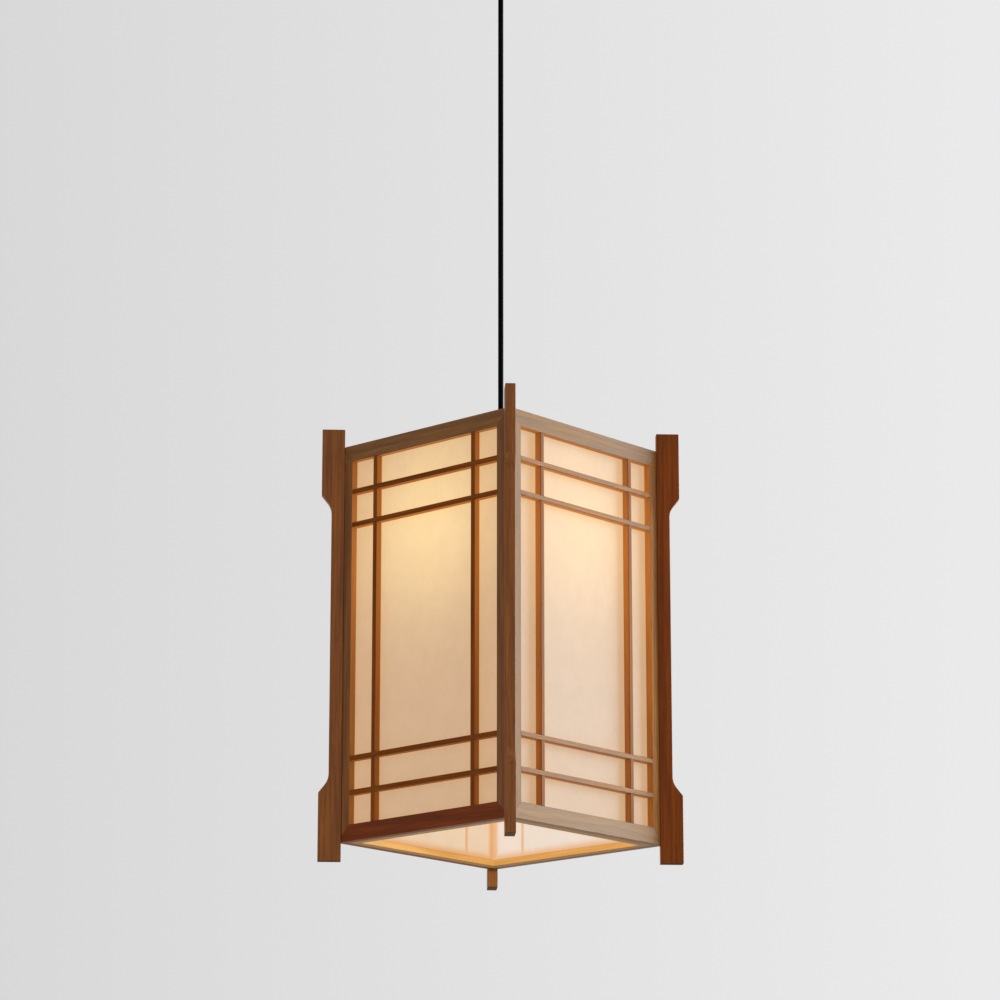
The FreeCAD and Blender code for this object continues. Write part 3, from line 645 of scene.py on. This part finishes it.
def flex_sheath(name, colour):
    """Matt sheath: fine noise drawn out along the flex, and broad cloudy patches."""
    finish = Finish(name, specular=0.03)
    place = finish.place()
    fine = finish.noise(finish.stretch(place, (1, 1, 0.05)), scale=2200)
    patches = finish.ease(finish.noise(place, scale=160), 0.3, 0.7)
    finish.wear("Base Color", finish.blend(patches, paint(colour, 0.8), paint(colour, 1.5)))
    finish.wear("Roughness", finish.ease(fine, 0.3, 0.7, 0.55, 0.68))
    finish.bump(fine, distance=0.00003, strength=0.5)
    return finish.material


def dress(names, *materials):
    """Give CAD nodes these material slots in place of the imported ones."""
    for name in names:
        slots = NODES[name].data.materials
        slots.clear()
        for material in materials:
            slots.append(material)


def ease_edges(names, width, rim=0):
    """Merge a node's loose triangles, join those that lie flat and round its edges.

    The rounds take the material slot with the number that rim gives.
    """
    for name in names:
        node = NODES[name]
        merge = node.modifiers.new("merge", "WELD")
        merge.merge_threshold = 0.00001
        flat = node.modifiers.new("flat", "DECIMATE")
        flat.decimate_type = "DISSOLVE"
        flat.angle_limit = math.radians(0.5)
        arris = node.modifiers.new("arris", "BEVEL")
        arris.width = width
        arris.segments = 2
        arris.limit_method = "ANGLE"
        arris.angle_limit = math.radians(28)
        arris.material = rim
        shading = node.modifiers.new("shading", "WEIGHTED_NORMAL")
        shading.weight = 100


def grid_mesh(name, points, round_first=False, round_second=False):
    """A mesh over a grid of points: rows by columns by three.

    A round direction joins its last line to its first.
    """
    rows, columns = points.shape[:2]
    index = np.arange(rows * columns).reshape(rows, columns)
    if round_first:
        index = np.vstack((index, index[:1]))
    if round_second:
        index = np.hstack((index, index[:, :1]))
    corners = (index[:-1, :-1], index[:-1, 1:], index[1:, 1:], index[1:, :-1])
    quads = np.stack(corners, -1).reshape(-1, 4)
    mesh = bpy.data.meshes.new(name)
    mesh.vertices.add(rows * columns)
    mesh.vertices.foreach_set("co", points.astype(np.float32).ravel())
    mesh.loops.add(quads.size)
    mesh.loops.foreach_set("vertex_index", quads.astype(np.int32).ravel())
    mesh.polygons.add(len(quads))
    mesh.polygons.foreach_set("loop_start", np.arange(0, quads.size, 4, dtype=np.int32))
    mesh.polygons.foreach_set("use_smooth", np.ones(len(quads), bool))
    mesh.update(calc_edges=True)
    return closed(mesh)


def closed(mesh):
    """Merge points that lie on one another, so that seams and poles are shut."""
    solid = bmesh.new()
    solid.from_mesh(mesh)
    bmesh.ops.remove_doubles(solid, verts=solid.verts, dist=1e-7)
    solid.to_mesh(mesh)
    solid.free()
    return mesh


def joined(name, meshes):
    """One mesh of several, shut where they meet."""
    solid = bmesh.new()
    for mesh in meshes:
        solid.from_mesh(mesh)
        bpy.data.meshes.remove(mesh)
    whole = bpy.data.meshes.new(name)
    solid.to_mesh(whole)
    solid.free()
    return closed(whole)


def eased_profile(corners, radius, steps=5):
    """A closed profile with each corner replaced by a short curve.

    The curve is the quadratic from a point before the corner to one after it, each a radius away, or a third
    of the side where that is shorter.
    """
    corner = np.asarray(corners, float)
    before = np.roll(corner, 1, 0) - corner
    after = np.roll(corner, -1, 0) - corner
    long_before = np.linalg.norm(before, axis=1)[:, None]
    long_after = np.linalg.norm(after, axis=1)[:, None]
    start = corner + before / long_before * np.minimum(radius, long_before / 3)
    stop = corner + after / long_after * np.minimum(radius, long_after / 3)
    t = np.linspace(0, 1, steps)[None, :, None]
    curve = (1 - t) ** 2 * start[:, None] + 2 * t * (1 - t) * corner[:, None] + t**2 * stop[:, None]
    return curve.reshape(-1, 2)


def with_levels(profile, count):
    """The closed profile with points added, so that no side is longer than the whole over the count."""
    loop = np.vstack((profile, profile[:1]))
    step = np.linalg.norm(np.diff(loop, axis=0), axis=1)
    walked = np.concatenate(([0], np.cumsum(step)))
    even = np.linspace(0, walked[-1], count, endpoint=False)
    places = np.unique(np.concatenate((walked[:-1], even)))
    return np.stack((np.interp(places, walked, loop[:, 0]), np.interp(places, walked, loop[:, 1])), -1)


def outward(profile):
    """The profile ordered so that the turned surface faces out of the solid."""
    r, z = profile[:, 0], profile[:, 1]
    area = np.sum(r * np.roll(z, -1) - np.roll(r, -1) * z)
    return profile if area > 0 else profile[::-1]


def turned(profile, columns, ripple=None):
    """Points of a profile of radius and height carried round the cord's axis.

    Ripple is a function of the grids of radius, height and angle, and gives the radius to use.
    """
    angle = np.linspace(0, 2 * math.pi, columns, endpoint=False)[None, :]
    radius = np.repeat(profile[:, :1], columns, 1)
    height = np.repeat(profile[:, 1:], columns, 1)
    if ripple:
        radius = ripple(radius, height, angle)
    return np.stack((radius * np.cos(angle), radius * np.sin(angle), height), -1)


def band(z, foot, head, fade):
    """One between two heights, falling to nought over a short fade inside each."""
    return np.clip((z - foot) / fade, 0, 1) * np.clip((head - z) / fade, 0, 1)


def screw_head(radius, rise):
    """Points of a slotted domed screw head that stands on the origin.

    Over the disc the height is a rim plus a flattened round cap, cut down to the slot's floor in the middle
    sixth. Lines of the grid run along the slot, so its sides are straight. The slot and the lines are shares
    of the radius, and the rim and the floor are shares of the rise.
    """
    slot = 0.17
    rim = 0.35
    floor = 0.45
    flatness = 0.92
    side = np.array((slot + 0.001, 0.45, 0.7, 0.92, 1.0))
    lines = np.concatenate((-side[::-1], (-slot, 0, slot), side))
    run = np.linspace(-1, 1, lines.size)
    y = np.repeat(lines[:, None] * radius, run.size, 1)
    x = run * np.sqrt(np.maximum(radius**2 - y**2, 0.0))
    reach = np.sqrt(x**2 + y**2) / radius
    cap = np.sqrt(np.clip(1 - reach**2 * flatness, 0, 1))
    z = rise * (rim + (1 - rim) * cap)
    in_slot = np.abs(lines[:, None]) <= slot
    z = np.where(in_slot, np.minimum(z, floor * rise), z)
    return np.stack((x, y, z), -1)


def edge(grid):
    """The points round the edge of a grid, in order."""
    return np.concatenate((grid[0], grid[1:, -1], grid[-1, -2::-1], grid[-2:0:-1, 0]))


def screws(name, places, axes, radius, rise):
    """Screw heads in one mesh, each made of its dome, the skirt round it and the foot that shuts it.

    The foot is the dome's grid pressed flat, and the skirt joins the edges of the two.
    """
    head = screw_head(radius, rise)
    pair = np.stack((head, head * (1, 1, 0)))
    meshes = []
    for place, axis in zip(places, axes):
        turn = Vector((0, 0, 1)).rotation_difference(Vector(axis)).to_matrix()
        dome, foot = pair @ np.array(turn).T + np.array(place)
        meshes.append(grid_mesh("dome", dome))
        meshes.append(grid_mesh("skirt", np.stack((edge(foot), edge(dome))), round_second=True))
        meshes.append(grid_mesh("foot", foot[::-1]))
    return joined(name, meshes)


def new_piece(mesh, material, body, slot, *stands_for):
    """Link a finished mesh as a piece that rides on a body."""
    piece = bpy.data.objects.new(mesh.name, mesh)
    bpy.context.scene.collection.objects.link(piece)
    mesh.materials.append(material)
    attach(piece, body)
    if stands_for:
        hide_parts(*stands_for)


class PENDANT_OT_flex(bpy.types.Operator):
    """Run the flex straight down from the ceiling grip into the lantern's grip"""

    bl_idname = "pendant.flex"
    bl_label = "Flex"

    # How far the flex goes down past the top of the lantern's grip, in metres.
    INSIDE = 0.024

    def execute(self, context):
        look = context.scene.pendant_flex
        sheath = flex_sheath("flex_sheath", look.sheath)
        flex = bpy.data.objects.new("flex", self.line(look.diameter, sheath))
        context.scene.collection.objects.link(flex)
        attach(flex, "cord")
        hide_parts("cord")
        dress(("cord_bend", "cord_tail"), sheath)
        return {"FINISHED"}

    def line(self, diameter, sheath):
        """A round line on three points: the pivot, the middle of the drop and the end in the grip."""
        line = bpy.data.curves.new("flex", "CURVE")
        line.dimensions = "3D"
        line.bevel_depth = diameter / 2
        line.bevel_resolution = 8
        line.use_fill_caps = True
        line.materials.append(sheath)
        run = line.splines.new("NURBS")
        heights = (CORD_PIVOT, (CORD_PIVOT + GRIP_TOP) / 2, GRIP_TOP - self.INSIDE)
        run.points.add(len(heights) - 1)
        for point, height in zip(run.points, heights):
            point.co = (0, 0, height, 1)
        run.order_u = 3
        run.use_endpoint_u = True
        return line


class PENDANT_OT_woodwork(bpy.types.Operator):
    """Finish the panel frames, the lattice and the corner fins"""

    bl_idname = "pendant.woodwork"
    bl_label = "Frames, lattice and fins"

    # Tint of each kind of board against the stain, and of the eased edges. The lit_ kinds are paler and
    # greyer: painted light and sheen of the side lamp on the right panel.
    TINTS = {
        "plain": (0.96, 1.00, 1.0),
        "amber": (0.96, 1.14, 1.15),
        "brown": (0.90, 0.90, 0.80),
        "red": (0.86, 0.49, 0.23),
        "rust": (1.08, 0.76, 0.40),
        "pale": (1.20, 1.16, 1.00),
        "lit_matt": (1.14, 1.02, 0.80),
        "lit_honey": (1.22, 1.28, 0.70),
        "lit_olive": (0.98, 1.15, 0.90),
        "deep": (0.98, 0.76, 0.20),
        "ash": (1.10, 1.42, 2.10),
        "lit_umber": (1.40, 1.55, 1.30),
        "worn": (0.78, 0.70, 0.60),
    }
    # Roughness and specular level of the boards that aren't satin.
    SHEENS = {
        "lit_matt": (0.64, 0.22),
        "deep": (0.60, 0.08),
        "lit_umber": (0.60, 0.2),
        "rust": (0.52, 0.15),
        "red": (0.52, 0.15),
        "lit_olive": (0.48, 0.23),
        "lit_honey": (0.48, 0.22),
    }
    # The kind of each board and fin.
    BOARDS = {
        "front": {
            "stile_left": "plain", "stile_right": "brown", "rail_top": "amber", "rail_bottom": "red",
            "uprights": "deep", "level_bars": "deep",
        },
        # The right panel's boards take the lit_ tints, painted side-lamp light and sheen; its near stile
        # keeps amber.
        "right": {
            "stile_left": "amber", "stile_right": "lit_umber", "rail_top": "lit_olive", "rail_bottom": "ash",
            "uprights": "lit_matt", "level_bars": "lit_honey",
        },
        "back": {
            "stile_left": "plain", "stile_right": "amber", "rail_top": "brown", "rail_bottom": "plain",
            "uprights": "plain", "level_bars": "amber",
        },
        "left": {
            "stile_left": "amber", "stile_right": "brown", "rail_top": "plain", "rail_bottom": "rust",
            "uprights": "amber", "level_bars": "plain",
        },
    }
    FINS = {
        "fin_front_right": "pale",
        "fin_right_back": "rust",
        "fin_back_left": "amber",
        "fin_left_front": "pale",
    }
    # Seeds of the grain, which differ from board to board.
    FIRST_BOARD = 1
    FIRST_FIN = 31
    ARRIS_SEED = 9

    def execute(self, context):
        look = context.scene.pendant_wood
        # The eased edges take a darker tint of the stain.
        arris = self.cut("arris", "worn", Z, self.ARRIS_SEED).material
        names = []
        for panel, boards in self.BOARDS.items():
            across, through = panel_axes(panel)
            for board, kind in boards.items():
                name = f"{panel}_{board}"
                grain = Z if board.startswith(("stile", "upright")) else across
                finish = self.cut(name, kind, grain, self.FIRST_BOARD + len(names))
                lit_reveals(finish, across, through)
                dress((name,), finish.material, arris)
                names.append(name)
        for number, (name, kind) in enumerate(self.FINS.items()):
            finish = self.cut(name, kind, Z, self.FIRST_FIN + number)
            lit_ends(finish)
            dress((name,), finish.material, arris)
            names.append(name)
        ease_edges(names, look.arris, rim=1)
        return {"FINISHED"}

    def cut(self, name, kind, grain, seed):
        """A cut of wood of one kind."""
        look = bpy.context.scene.pendant_wood
        dark, light = (tinted(colour, self.TINTS[kind]) for colour in (look.dark, look.light))
        return wood(f"wood_{name}", grain, dark, light, seed, self.SHEENS.get(kind, SATIN))


class PENDANT_OT_carrier(bpy.types.Operator):
    """Finish the battens, the crossbar and the threaded tube, and make the cord grip and the screws"""

    bl_idname = "pendant.carrier"
    bl_label = "Battens, crossbar and cord grip"

    # Sizes of the cord grip, in metres. The knurls start and end at heights above its foot.
    BORE = 0.0033
    BORE_DEPTH = 0.012
    BORE_SLOPE = 0.001
    CHAMFER = 0.003
    KNURL_FOOT = 0.003
    KNURL_HEAD = 0.011
    KNURL_DEPTH = 0.00035

    # Radius and rise of the screw heads, how far they are sunk, and their places, in metres.
    WOOD_SCREW = (0.0032, 0.0018)
    WOOD_SCREW_SINK = 0.0001
    WOOD_SCREW_INSET = 0.005
    WOOD_SCREWS = (-0.008, 0.008)
    GRUB_SCREW = (0.0021, 0.0012)
    GRUB_SCREW_SINK = 0.0004
    GRUB_SCREW_DROP = 0.007

    def execute(self, context):
        look = context.scene.pendant_fittings
        zinc = coated("zinc_plate", look.zinc, rough=0.32, grain=900, metallic=1.0)
        black = coated("moulded_black", look.plastic, rough=0.30, grain=500)
        self.timber()
        dress(("nipple", "nipple_washers", "nipple_nut"), zinc)
        ease_edges(("nipple_washers", "nipple_nut"), width=0.0003)
        sleeve = self.sleeve(look.knurl_count)
        new_piece(sleeve, black, "lantern", "black_plastic", "cord_grip")
        new_piece(self.wood_screws(), zinc, "lantern", "steel")
        new_piece(self.grub_screw(), zinc, "lantern", "steel")
        return {"FINISHED"}

    def timber(self):
        """Finish the unstained wood."""
        look = bpy.context.scene.pendant_wood
        dress(("batten_ring_top",), batten_wood("wood_batten_top", seed=3.0))
        dress(("batten_ring_bottom",), batten_wood("wood_batten_bottom", seed=5.0))
        crossbar = wood("wood_crossbar", X, look.bare_dark, look.bare_light, seed=41)
        dress(("crossbar",), crossbar.material)
        ease_edges(("batten_ring_top", "batten_ring_bottom", "crossbar"), width=0.0004)

    def sleeve(self, count):
        """The cord grip: a profile turned round the cord's axis.

        In the knurled band the radius is less by a cosine wave of the angle.
        """
        low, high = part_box("cord_grip")
        radius = high.x
        bore_low = high.z - self.BORE_DEPTH
        corners = (
            (STEM_RADIUS, low.z), (radius, low.z), (radius, high.z - self.CHAMFER),
            (radius - self.CHAMFER, high.z), (self.BORE, high.z), (self.BORE, bore_low),
            (STEM_RADIUS, bore_low - self.BORE_SLOPE),
        )

        def knurled(r, z, angle):
            outside = r > radius - WALL_SLACK
            share = band(z, low.z + self.KNURL_FOOT, low.z + self.KNURL_HEAD, fade=0.0004) * outside
            return r - self.KNURL_DEPTH * share * (0.5 + 0.5 * np.cos(count * angle))

        profile = outward(with_levels(eased_profile(corners, radius=0.0006), count=60))
        points = turned(profile, columns=8 * count, ripple=knurled)
        return grid_mesh("cord_grip_sleeve", points, round_first=True, round_second=True)

    def wood_screws(self):
        """Four screws up through the ends of the crossbar."""
        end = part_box("batten_ring_bottom")[1].x - self.WOOD_SCREW_INSET
        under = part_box("crossbar")[0].z + self.WOOD_SCREW_SINK
        places = [(side * end, across, under) for side in (-1, 1) for across in self.WOOD_SCREWS]
        return screws("crossbar_screws", places, [(0, 0, -1)] * len(places), *self.WOOD_SCREW)

    def grub_screw(self):
        """The screw that pinches the flex, in the front of the grip."""
        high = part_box("cord_grip")[1]
        place = (0, self.GRUB_SCREW_SINK - high.x, high.z - self.GRUB_SCREW_DROP)
        return screws("grip_screw", [place], [(0, -1, 0)], *self.GRUB_SCREW)


class PENDANT_OT_sheets(bpy.types.Operator):
    """Finish the four translucent sheets"""

    bl_idname = "pendant.sheets"
    bl_label = "Paper sheets"

    def execute(self, context):
        look = context.scene.pendant_paper
        shaded = (look.shaded_heart, look.shaded_inside)
        sunny = (look.sunny_heart, look.sunny_inside)
        for panel, light in zip(PANELS, (shaded, sunny, sunny, shaded)):
            dress((f"{panel}_sheet",), paper(f"fibred_sheet_{panel}", panel, *light))
        return {"FINISHED"}


class PENDANT_OT_lampholder(bpy.types.Operator):
    """Make the ribbed lampholder and finish its core and contacts"""

    bl_idname = "pendant.lampholder"
    bl_label = "Lampholder"

    # Sizes of the lampholder, in metres. The ribs keep a margin from the ends of the skirt's wall.
    WALL = 0.002
    NECK_RADIUS = 0.0085
    NECK_HEIGHT = 0.007
    SHOULDER_DROP = 0.014
    CORE_BORE = 0.0156
    LEDGE_BORE = 0.0146
    LEDGE_DROP = 0.004
    LEDGE_HEIGHT = 0.003
    PLAY = 0.0001
    RIB_MARGIN = 0.004
    RIB_DEPTH = 0.0006

    def execute(self, context):
        look = context.scene.pendant_fittings
        black = bpy.data.materials["moulded_black"]
        porcelain = coated("bisque_porcelain", look.porcelain, rough=0.55, grain=700, bump=0.00003)
        brass = coated("pressed_brass", look.brass, rough=0.30, grain=600, metallic=1.0)
        new_piece(self.cap(), black, "lantern", "black_plastic", "holder_cap")
        new_piece(self.skirt(look.rib_count), black, "lantern", "black_plastic", "holder_skirt")
        dress(("holder_core",), porcelain)
        dress(("holder_contacts",), brass)
        return {"FINISHED"}

    def cap(self):
        """The cap: a neck, a sloped shoulder and a straight wall, turned round the cord's axis."""
        low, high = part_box("holder_cap")
        outer, inner = high.x, high.x - self.WALL
        neck, neck_low = self.NECK_RADIUS, high.z - self.NECK_HEIGHT
        shoulder = high.z - self.SHOULDER_DROP
        under = neck_low - self.WALL
        corners = (
            (STEM_RADIUS, high.z), (neck, high.z), (neck, neck_low), (outer, shoulder), (outer, low.z),
            (inner, low.z), (inner, shoulder), (neck, under), (STEM_RADIUS, under),
        )
        profile = outward(eased_profile(corners, radius=0.0008))
        points = turned(profile, columns=120)
        return grid_mesh("lampholder_cap", points, round_first=True, round_second=True)

    def skirt(self, count):
        """The skirt: a collar inside the cap, a wall and the core's ledge, turned round the cord's axis.

        In the ribbed band the radius is less by a squared cosine wave of the angle.
        """
        cap_low, cap_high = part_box("holder_cap")
        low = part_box("holder_skirt")[0].z
        outer, inner = cap_high.x, cap_high.x - self.WALL
        collar = inner - self.PLAY
        collar_top = cap_high.z - self.SHOULDER_DROP
        ledge = cap_low.z - self.LEDGE_DROP
        under = ledge - self.LEDGE_HEIGHT
        corners = (
            (self.CORE_BORE, collar_top), (collar, collar_top), (collar, cap_low.z), (outer, cap_low.z),
            (outer, low), (inner, low), (inner, under), (self.LEDGE_BORE, under), (self.LEDGE_BORE, ledge),
            (self.CORE_BORE, ledge),
        )

        def ribbed(r, z, angle):
            outside = r > outer - WALL_SLACK
            share = band(z, low + self.RIB_MARGIN, cap_low.z - self.RIB_MARGIN, fade=0.0015) * outside
            return r - self.RIB_DEPTH * share * (0.5 - 0.5 * np.cos(count * angle)) ** 2

        profile = outward(with_levels(eased_profile(corners, radius=0.0007), count=150))
        points = turned(profile, columns=8 * count, ripple=ribbed)
        return grid_mesh("lampholder_skirt", points, round_first=True, round_second=True)


class PENDANT_OT_bulb(bpy.types.Operator):
    """Light the bulb and roll the thread of its cap"""

    bl_idname = "pendant.bulb"
    bl_label = "Bulb"

    # Sizes of the screw cap, in metres. Its wall is plain at the foot and at the head.
    TIP_RADIUS = 0.0045
    TIP_DROP = 0.0001
    TAPER = 0.0035
    PLAIN_FOOT = 0.006
    PLAIN_HEAD = 0.0005

    # The lamp's radius beyond the globe's, in metres.
    LAMP_MARGIN = 0.006

    def execute(self, context):
        look = context.scene.pendant_bulb
        dress(("bulb_glass",), opal("opal_glass"))
        dress(("bulb_contact",), bpy.data.materials["pressed_brass"])
        alloy = coated("rolled_aluminium", look.alloy, rough=0.34, grain=800, metallic=1.0)
        cap = self.screw_cap(look.thread_pitch, look.thread_depth)
        new_piece(cap, alloy, "bulb", "bulb_cap", "bulb_cap")
        self.lamplight(context.scene, look)
        return {"FINISHED"}

    def screw_cap(self, pitch, depth):
        """A tapered crown on a straight wall, turned round the cord's axis.

        In the threaded band the radius is less by a cosine wave of the turns at that height, less the angle.
        """
        low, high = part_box("bulb_cap")
        radius = high.x
        crown = high.z - self.TIP_DROP
        shoulder = high.z - self.TAPER
        wall = np.linspace(shoulder, low.z, num=110)
        slope = np.linspace((self.TIP_RADIUS, crown), (radius, shoulder), num=8)[:-1]
        profile = np.vstack((
            [(0.0, crown), (self.TIP_RADIUS * 0.6, crown)],
            slope,
            np.stack((np.full(wall.size, radius), wall), -1),
            [(radius * 0.6, low.z), (0.0, low.z)],
        ))

        def rolled(r, z, angle):
            outside = r > radius - WALL_SLACK
            share = band(z, low.z + self.PLAIN_FOOT, shoulder - self.PLAIN_HEAD, fade=0.0012) * outside
            return r - depth * share * (0.5 - 0.5 * np.cos(2 * math.pi * z / pitch - angle))

        points = turned(profile[::-1], columns=96, ripple=rolled)
        return grid_mesh("bulb_thread", points, round_second=True)

    def lamplight(self, scene, look):
        """A weak lamp a little larger than the globe, so that the glass doesn't hide it."""
        lamp = bpy.data.lights.new("lamplight", "POINT")
        lamp.energy = look.lamp_power
        lamp.color = look.lit
        lamp.shadow_soft_size = BULB_RADIUS + self.LAMP_MARGIN
        glow = bpy.data.objects.new("lamplight", lamp)
        scene.collection.objects.link(glow)
        glow.location = (0, 0, BULB_MIDDLE)
        glow.visible_camera = False
        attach(glow, "lantern")


class PENDANT_OT_rose(bpy.types.Operator):
    """Finish the ceiling cup, the strap, the bell mouthed grip and the terminals, and add the screws"""

    bl_idname = "pendant.rose"
    bl_label = "Ceiling rose"

    # Radius and rise of the screw heads, how far they are sunk, and their places, in metres.
    CUP_SCREW = (0.0032, 0.0018)
    CUP_SCREW_SINK = 0.0002
    CUP_SCREW_HEIGHT = -0.009
    TERMINAL_SCREW = (0.0022, 0.0008)
    TERMINAL_SCREW_SINK = 0.0001
    TERMINALS = (-0.007, 0.007)

    def execute(self, context):
        look = context.scene.pendant_fittings
        powder = coated("powder_coat", look.powder, rough=0.6, grain=1400, bump=0.00004, specular=0.2)
        white = coated("terminal_white", look.terminal, rough=0.4, grain=500)
        zinc = bpy.data.materials["zinc_plate"]
        brass = bpy.data.materials["pressed_brass"]
        black = bpy.data.materials["moulded_black"]
        dress(("canopy",), powder)
        dress(("bracket", "ceiling_grip_nut"), zinc)
        ease_edges(("ceiling_grip_nut",), width=0.0003)
        dress(("ceiling_grip",), black)
        ease_edges(("ceiling_grip",), width=0.0004)
        dress(("terminal_block",), white)
        ease_edges(("terminal_block",), width=0.0008)
        new_piece(self.cup_screws(), zinc, "ceiling_rose", "steel")
        new_piece(self.terminal_screws(), brass, "ceiling_rose", "brass")
        return {"FINISHED"}

    def cup_screws(self):
        """Two screws through the sides of the cup."""
        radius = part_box("canopy")[1].x - self.CUP_SCREW_SINK
        places = [(side * radius, 0, self.CUP_SCREW_HEIGHT) for side in (-1, 1)]
        return screws("canopy_screws", places, [(-1, 0, 0), (1, 0, 0)], *self.CUP_SCREW)

    def terminal_screws(self):
        """Two screws on each side of the terminal block."""
        low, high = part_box("terminal_block")
        face = high.y - self.TERMINAL_SCREW_SINK
        middle = (low.z + high.z) / 2
        spots = [(across, side) for across in self.TERMINALS for side in (-1, 1)]
        places = [(across, side * face, middle) for across, side in spots]
        axes = [(0, side, 0) for across, side in spots]
        return screws("terminal_screws", places, axes, *self.TERMINAL_SCREW)


class PENDANT_OT_studio(bpy.types.Operator):
    """Set the camera, the side lamp, the even light, the backdrop and the floor"""

    bl_idname = "pendant.studio"
    bl_label = "Studio"

    # The backdrop's fall of light ends where a line of sight leans aside by this share.
    SIDE = 0.14

    # Radii of the floor's rings and the distances from the origin between which it fades, in metres.
    RINGS = (0.0, 1.0, 2.0, 4.0, 8.0, 16.0, 32.0, 60.0)
    FADE = (16.0, 56.0)
    # Greys of the floor, and the light that lifts it to the backdrop's brightness.
    GREYS = ((0.755, 0.755, 0.755, 1), (0.765, 0.765, 0.765, 1))
    LIFT = (0.26, 0.26, 0.26, 1)

    def execute(self, context):
        look = context.scene.pendant_studio
        context.scene.view_settings.view_transform = "Standard"
        self.camera(context.scene, look)
        self.key_lamp(context.scene, look)
        self.backdrop(context.scene, look)
        self.floor(context.scene, look)
        return {"FINISHED"}

    def camera(self, scene, look):
        """A long lens below the lantern, tilted up."""
        lens = bpy.data.cameras.new("camera")
        lens.lens = look.lens
        lens.sensor_width = 36
        lens.clip_end = 200
        camera = bpy.data.objects.new("camera", lens)
        scene.collection.objects.link(camera)
        scene.camera = camera
        outwards = Vector((math.sin(look.azimuth), -math.cos(look.azimuth), 0))
        camera.location = outwards * look.distance + Vector((0, 0, PANEL_MIDDLE - look.drop))
        camera.rotation_euler = Euler((math.pi / 2 + look.pitch, 0, look.azimuth + look.aim))

    def key_lamp(self, scene, look):
        """A large square lamp that grazes the right panel."""
        way = Vector(look.key_way)
        lamp = bpy.data.lights.new("key_lamp", "AREA")
        lamp.shape = "SQUARE"
        lamp.size = look.key_size
        lamp.energy = look.key_power
        lamp.color = look.key_colour
        key = bpy.data.objects.new("key_lamp", lamp)
        scene.collection.objects.link(key)
        key.location = way.normalized() * look.key_distance + Vector((0, 0, PANEL_MIDDLE))
        key.rotation_euler = (-way).to_track_quat("-Z", "Y").to_euler()
        key.visible_camera = False

    def backdrop(self, scene, look):
        """Even grey light, and a pale backdrop that is a little brighter to the right."""
        world = bpy.data.worlds.new("studio")
        scene.world = world
        world.use_nodes = True
        world.node_tree.nodes.clear()
        sky = Nodes(world.node_tree)
        right = (math.cos(look.azimuth), math.sin(look.azimuth), 0)
        aside = sky.dot(sky.add("TexCoord", {}, "Generated"), right)
        ends = {1: -self.SIDE, 2: self.SIDE, 3: look.pale_left, 4: look.pale_right}
        pale = sky.add("Background", {"Color": sky.add("MapRange", {0: aside, **ends})})
        even = sky.add("Background", {"Strength": look.ambient})
        choice = sky.add("MixShader", {0: sky.seen(), 1: even, 2: pale})
        sky.node("OutputWorld", {"Surface": choice})

    def floor(self, scene, look):
        """A wide pale disc: radius by angle, drawn together at its middle.

        It fades into the backdrop far off.
        """
        radius = np.array(self.RINGS)
        flat = np.stack((radius, np.full(radius.size, look.floor)), -1)
        mesh = grid_mesh("floor", turned(flat[::-1], columns=64), round_second=True)
        finish = Finish("pale_floor", rough=0.8, specular=0.1)
        place = finish.place()
        far = finish.add("VectorMath", {0: place}, "Value", operation="LENGTH")
        finish.wear("Alpha", finish.ease(far, *self.FADE, 1.0, 0.0))
        cloud = finish.ease(finish.noise(place, scale=1.5), 0.3, 0.7)
        finish.wear("Base Color", finish.blend(cloud, *self.GREYS))
        finish.shine(finish.blend(finish.seen(), BLACK, self.LIFT))
        mesh.materials.append(finish.material)
        ground = bpy.data.objects.new("floor", mesh)
        scene.collection.objects.link(ground)


class PENDANT_PT_sidebar(bpy.types.Panel):
    """The steps that dress the pendant light"""

    bl_label = "Pendant light"
    bl_space_type = "VIEW_3D"
    bl_region_type = "UI"
    bl_category = "Pendant"

    def draw(self, context):
        for step in OPERATORS:
            self.layout.operator(step.bl_idname)
        for name, group in SETTINGS.items():
            box = self.layout.box()
            settings = getattr(context.scene, name)
            for key in group.__annotations__:
                box.prop(settings, key)


SETTINGS = {
    "pendant_wood": WoodFinish,
    "pendant_paper": PaperFinish,
    "pendant_fittings": FittingFinish,
    "pendant_bulb": BulbFinish,
    "pendant_flex": FlexFinish,
    "pendant_studio": StudioSettings,
}
OPERATORS = (
    PENDANT_OT_studio,
    PENDANT_OT_flex,
    PENDANT_OT_woodwork,
    PENDANT_OT_carrier,
    PENDANT_OT_sheets,
    PENDANT_OT_lampholder,
    PENDANT_OT_bulb,
    PENDANT_OT_rose,
)


def register():
    for group in SETTINGS.values():
        bpy.utils.register_class(group)
    for name, group in SETTINGS.items():
        setattr(bpy.types.Scene, name, PointerProperty(type=group))
    for item in OPERATORS + (PENDANT_PT_sidebar,):
        bpy.utils.register_class(item)


def unregister():
    for item in (PENDANT_PT_sidebar,) + OPERATORS[::-1]:
        bpy.utils.unregister_class(item)
    for name in SETTINGS:
        delattr(bpy.types.Scene, name)
    for group in SETTINGS.values():
        bpy.utils.unregister_class(group)


def main():
    register()
    bpy.ops.pendant.studio()
    bpy.ops.pendant.flex()
    bpy.ops.pendant.woodwork()
    bpy.ops.pendant.carrier()
    bpy.ops.pendant.sheets()
    bpy.ops.pendant.lampholder()
    bpy.ops.pendant.bulb()
    bpy.ops.pendant.rose()
    bpy.context.view_layer.update()


if __name__ == "__main__":
    main()
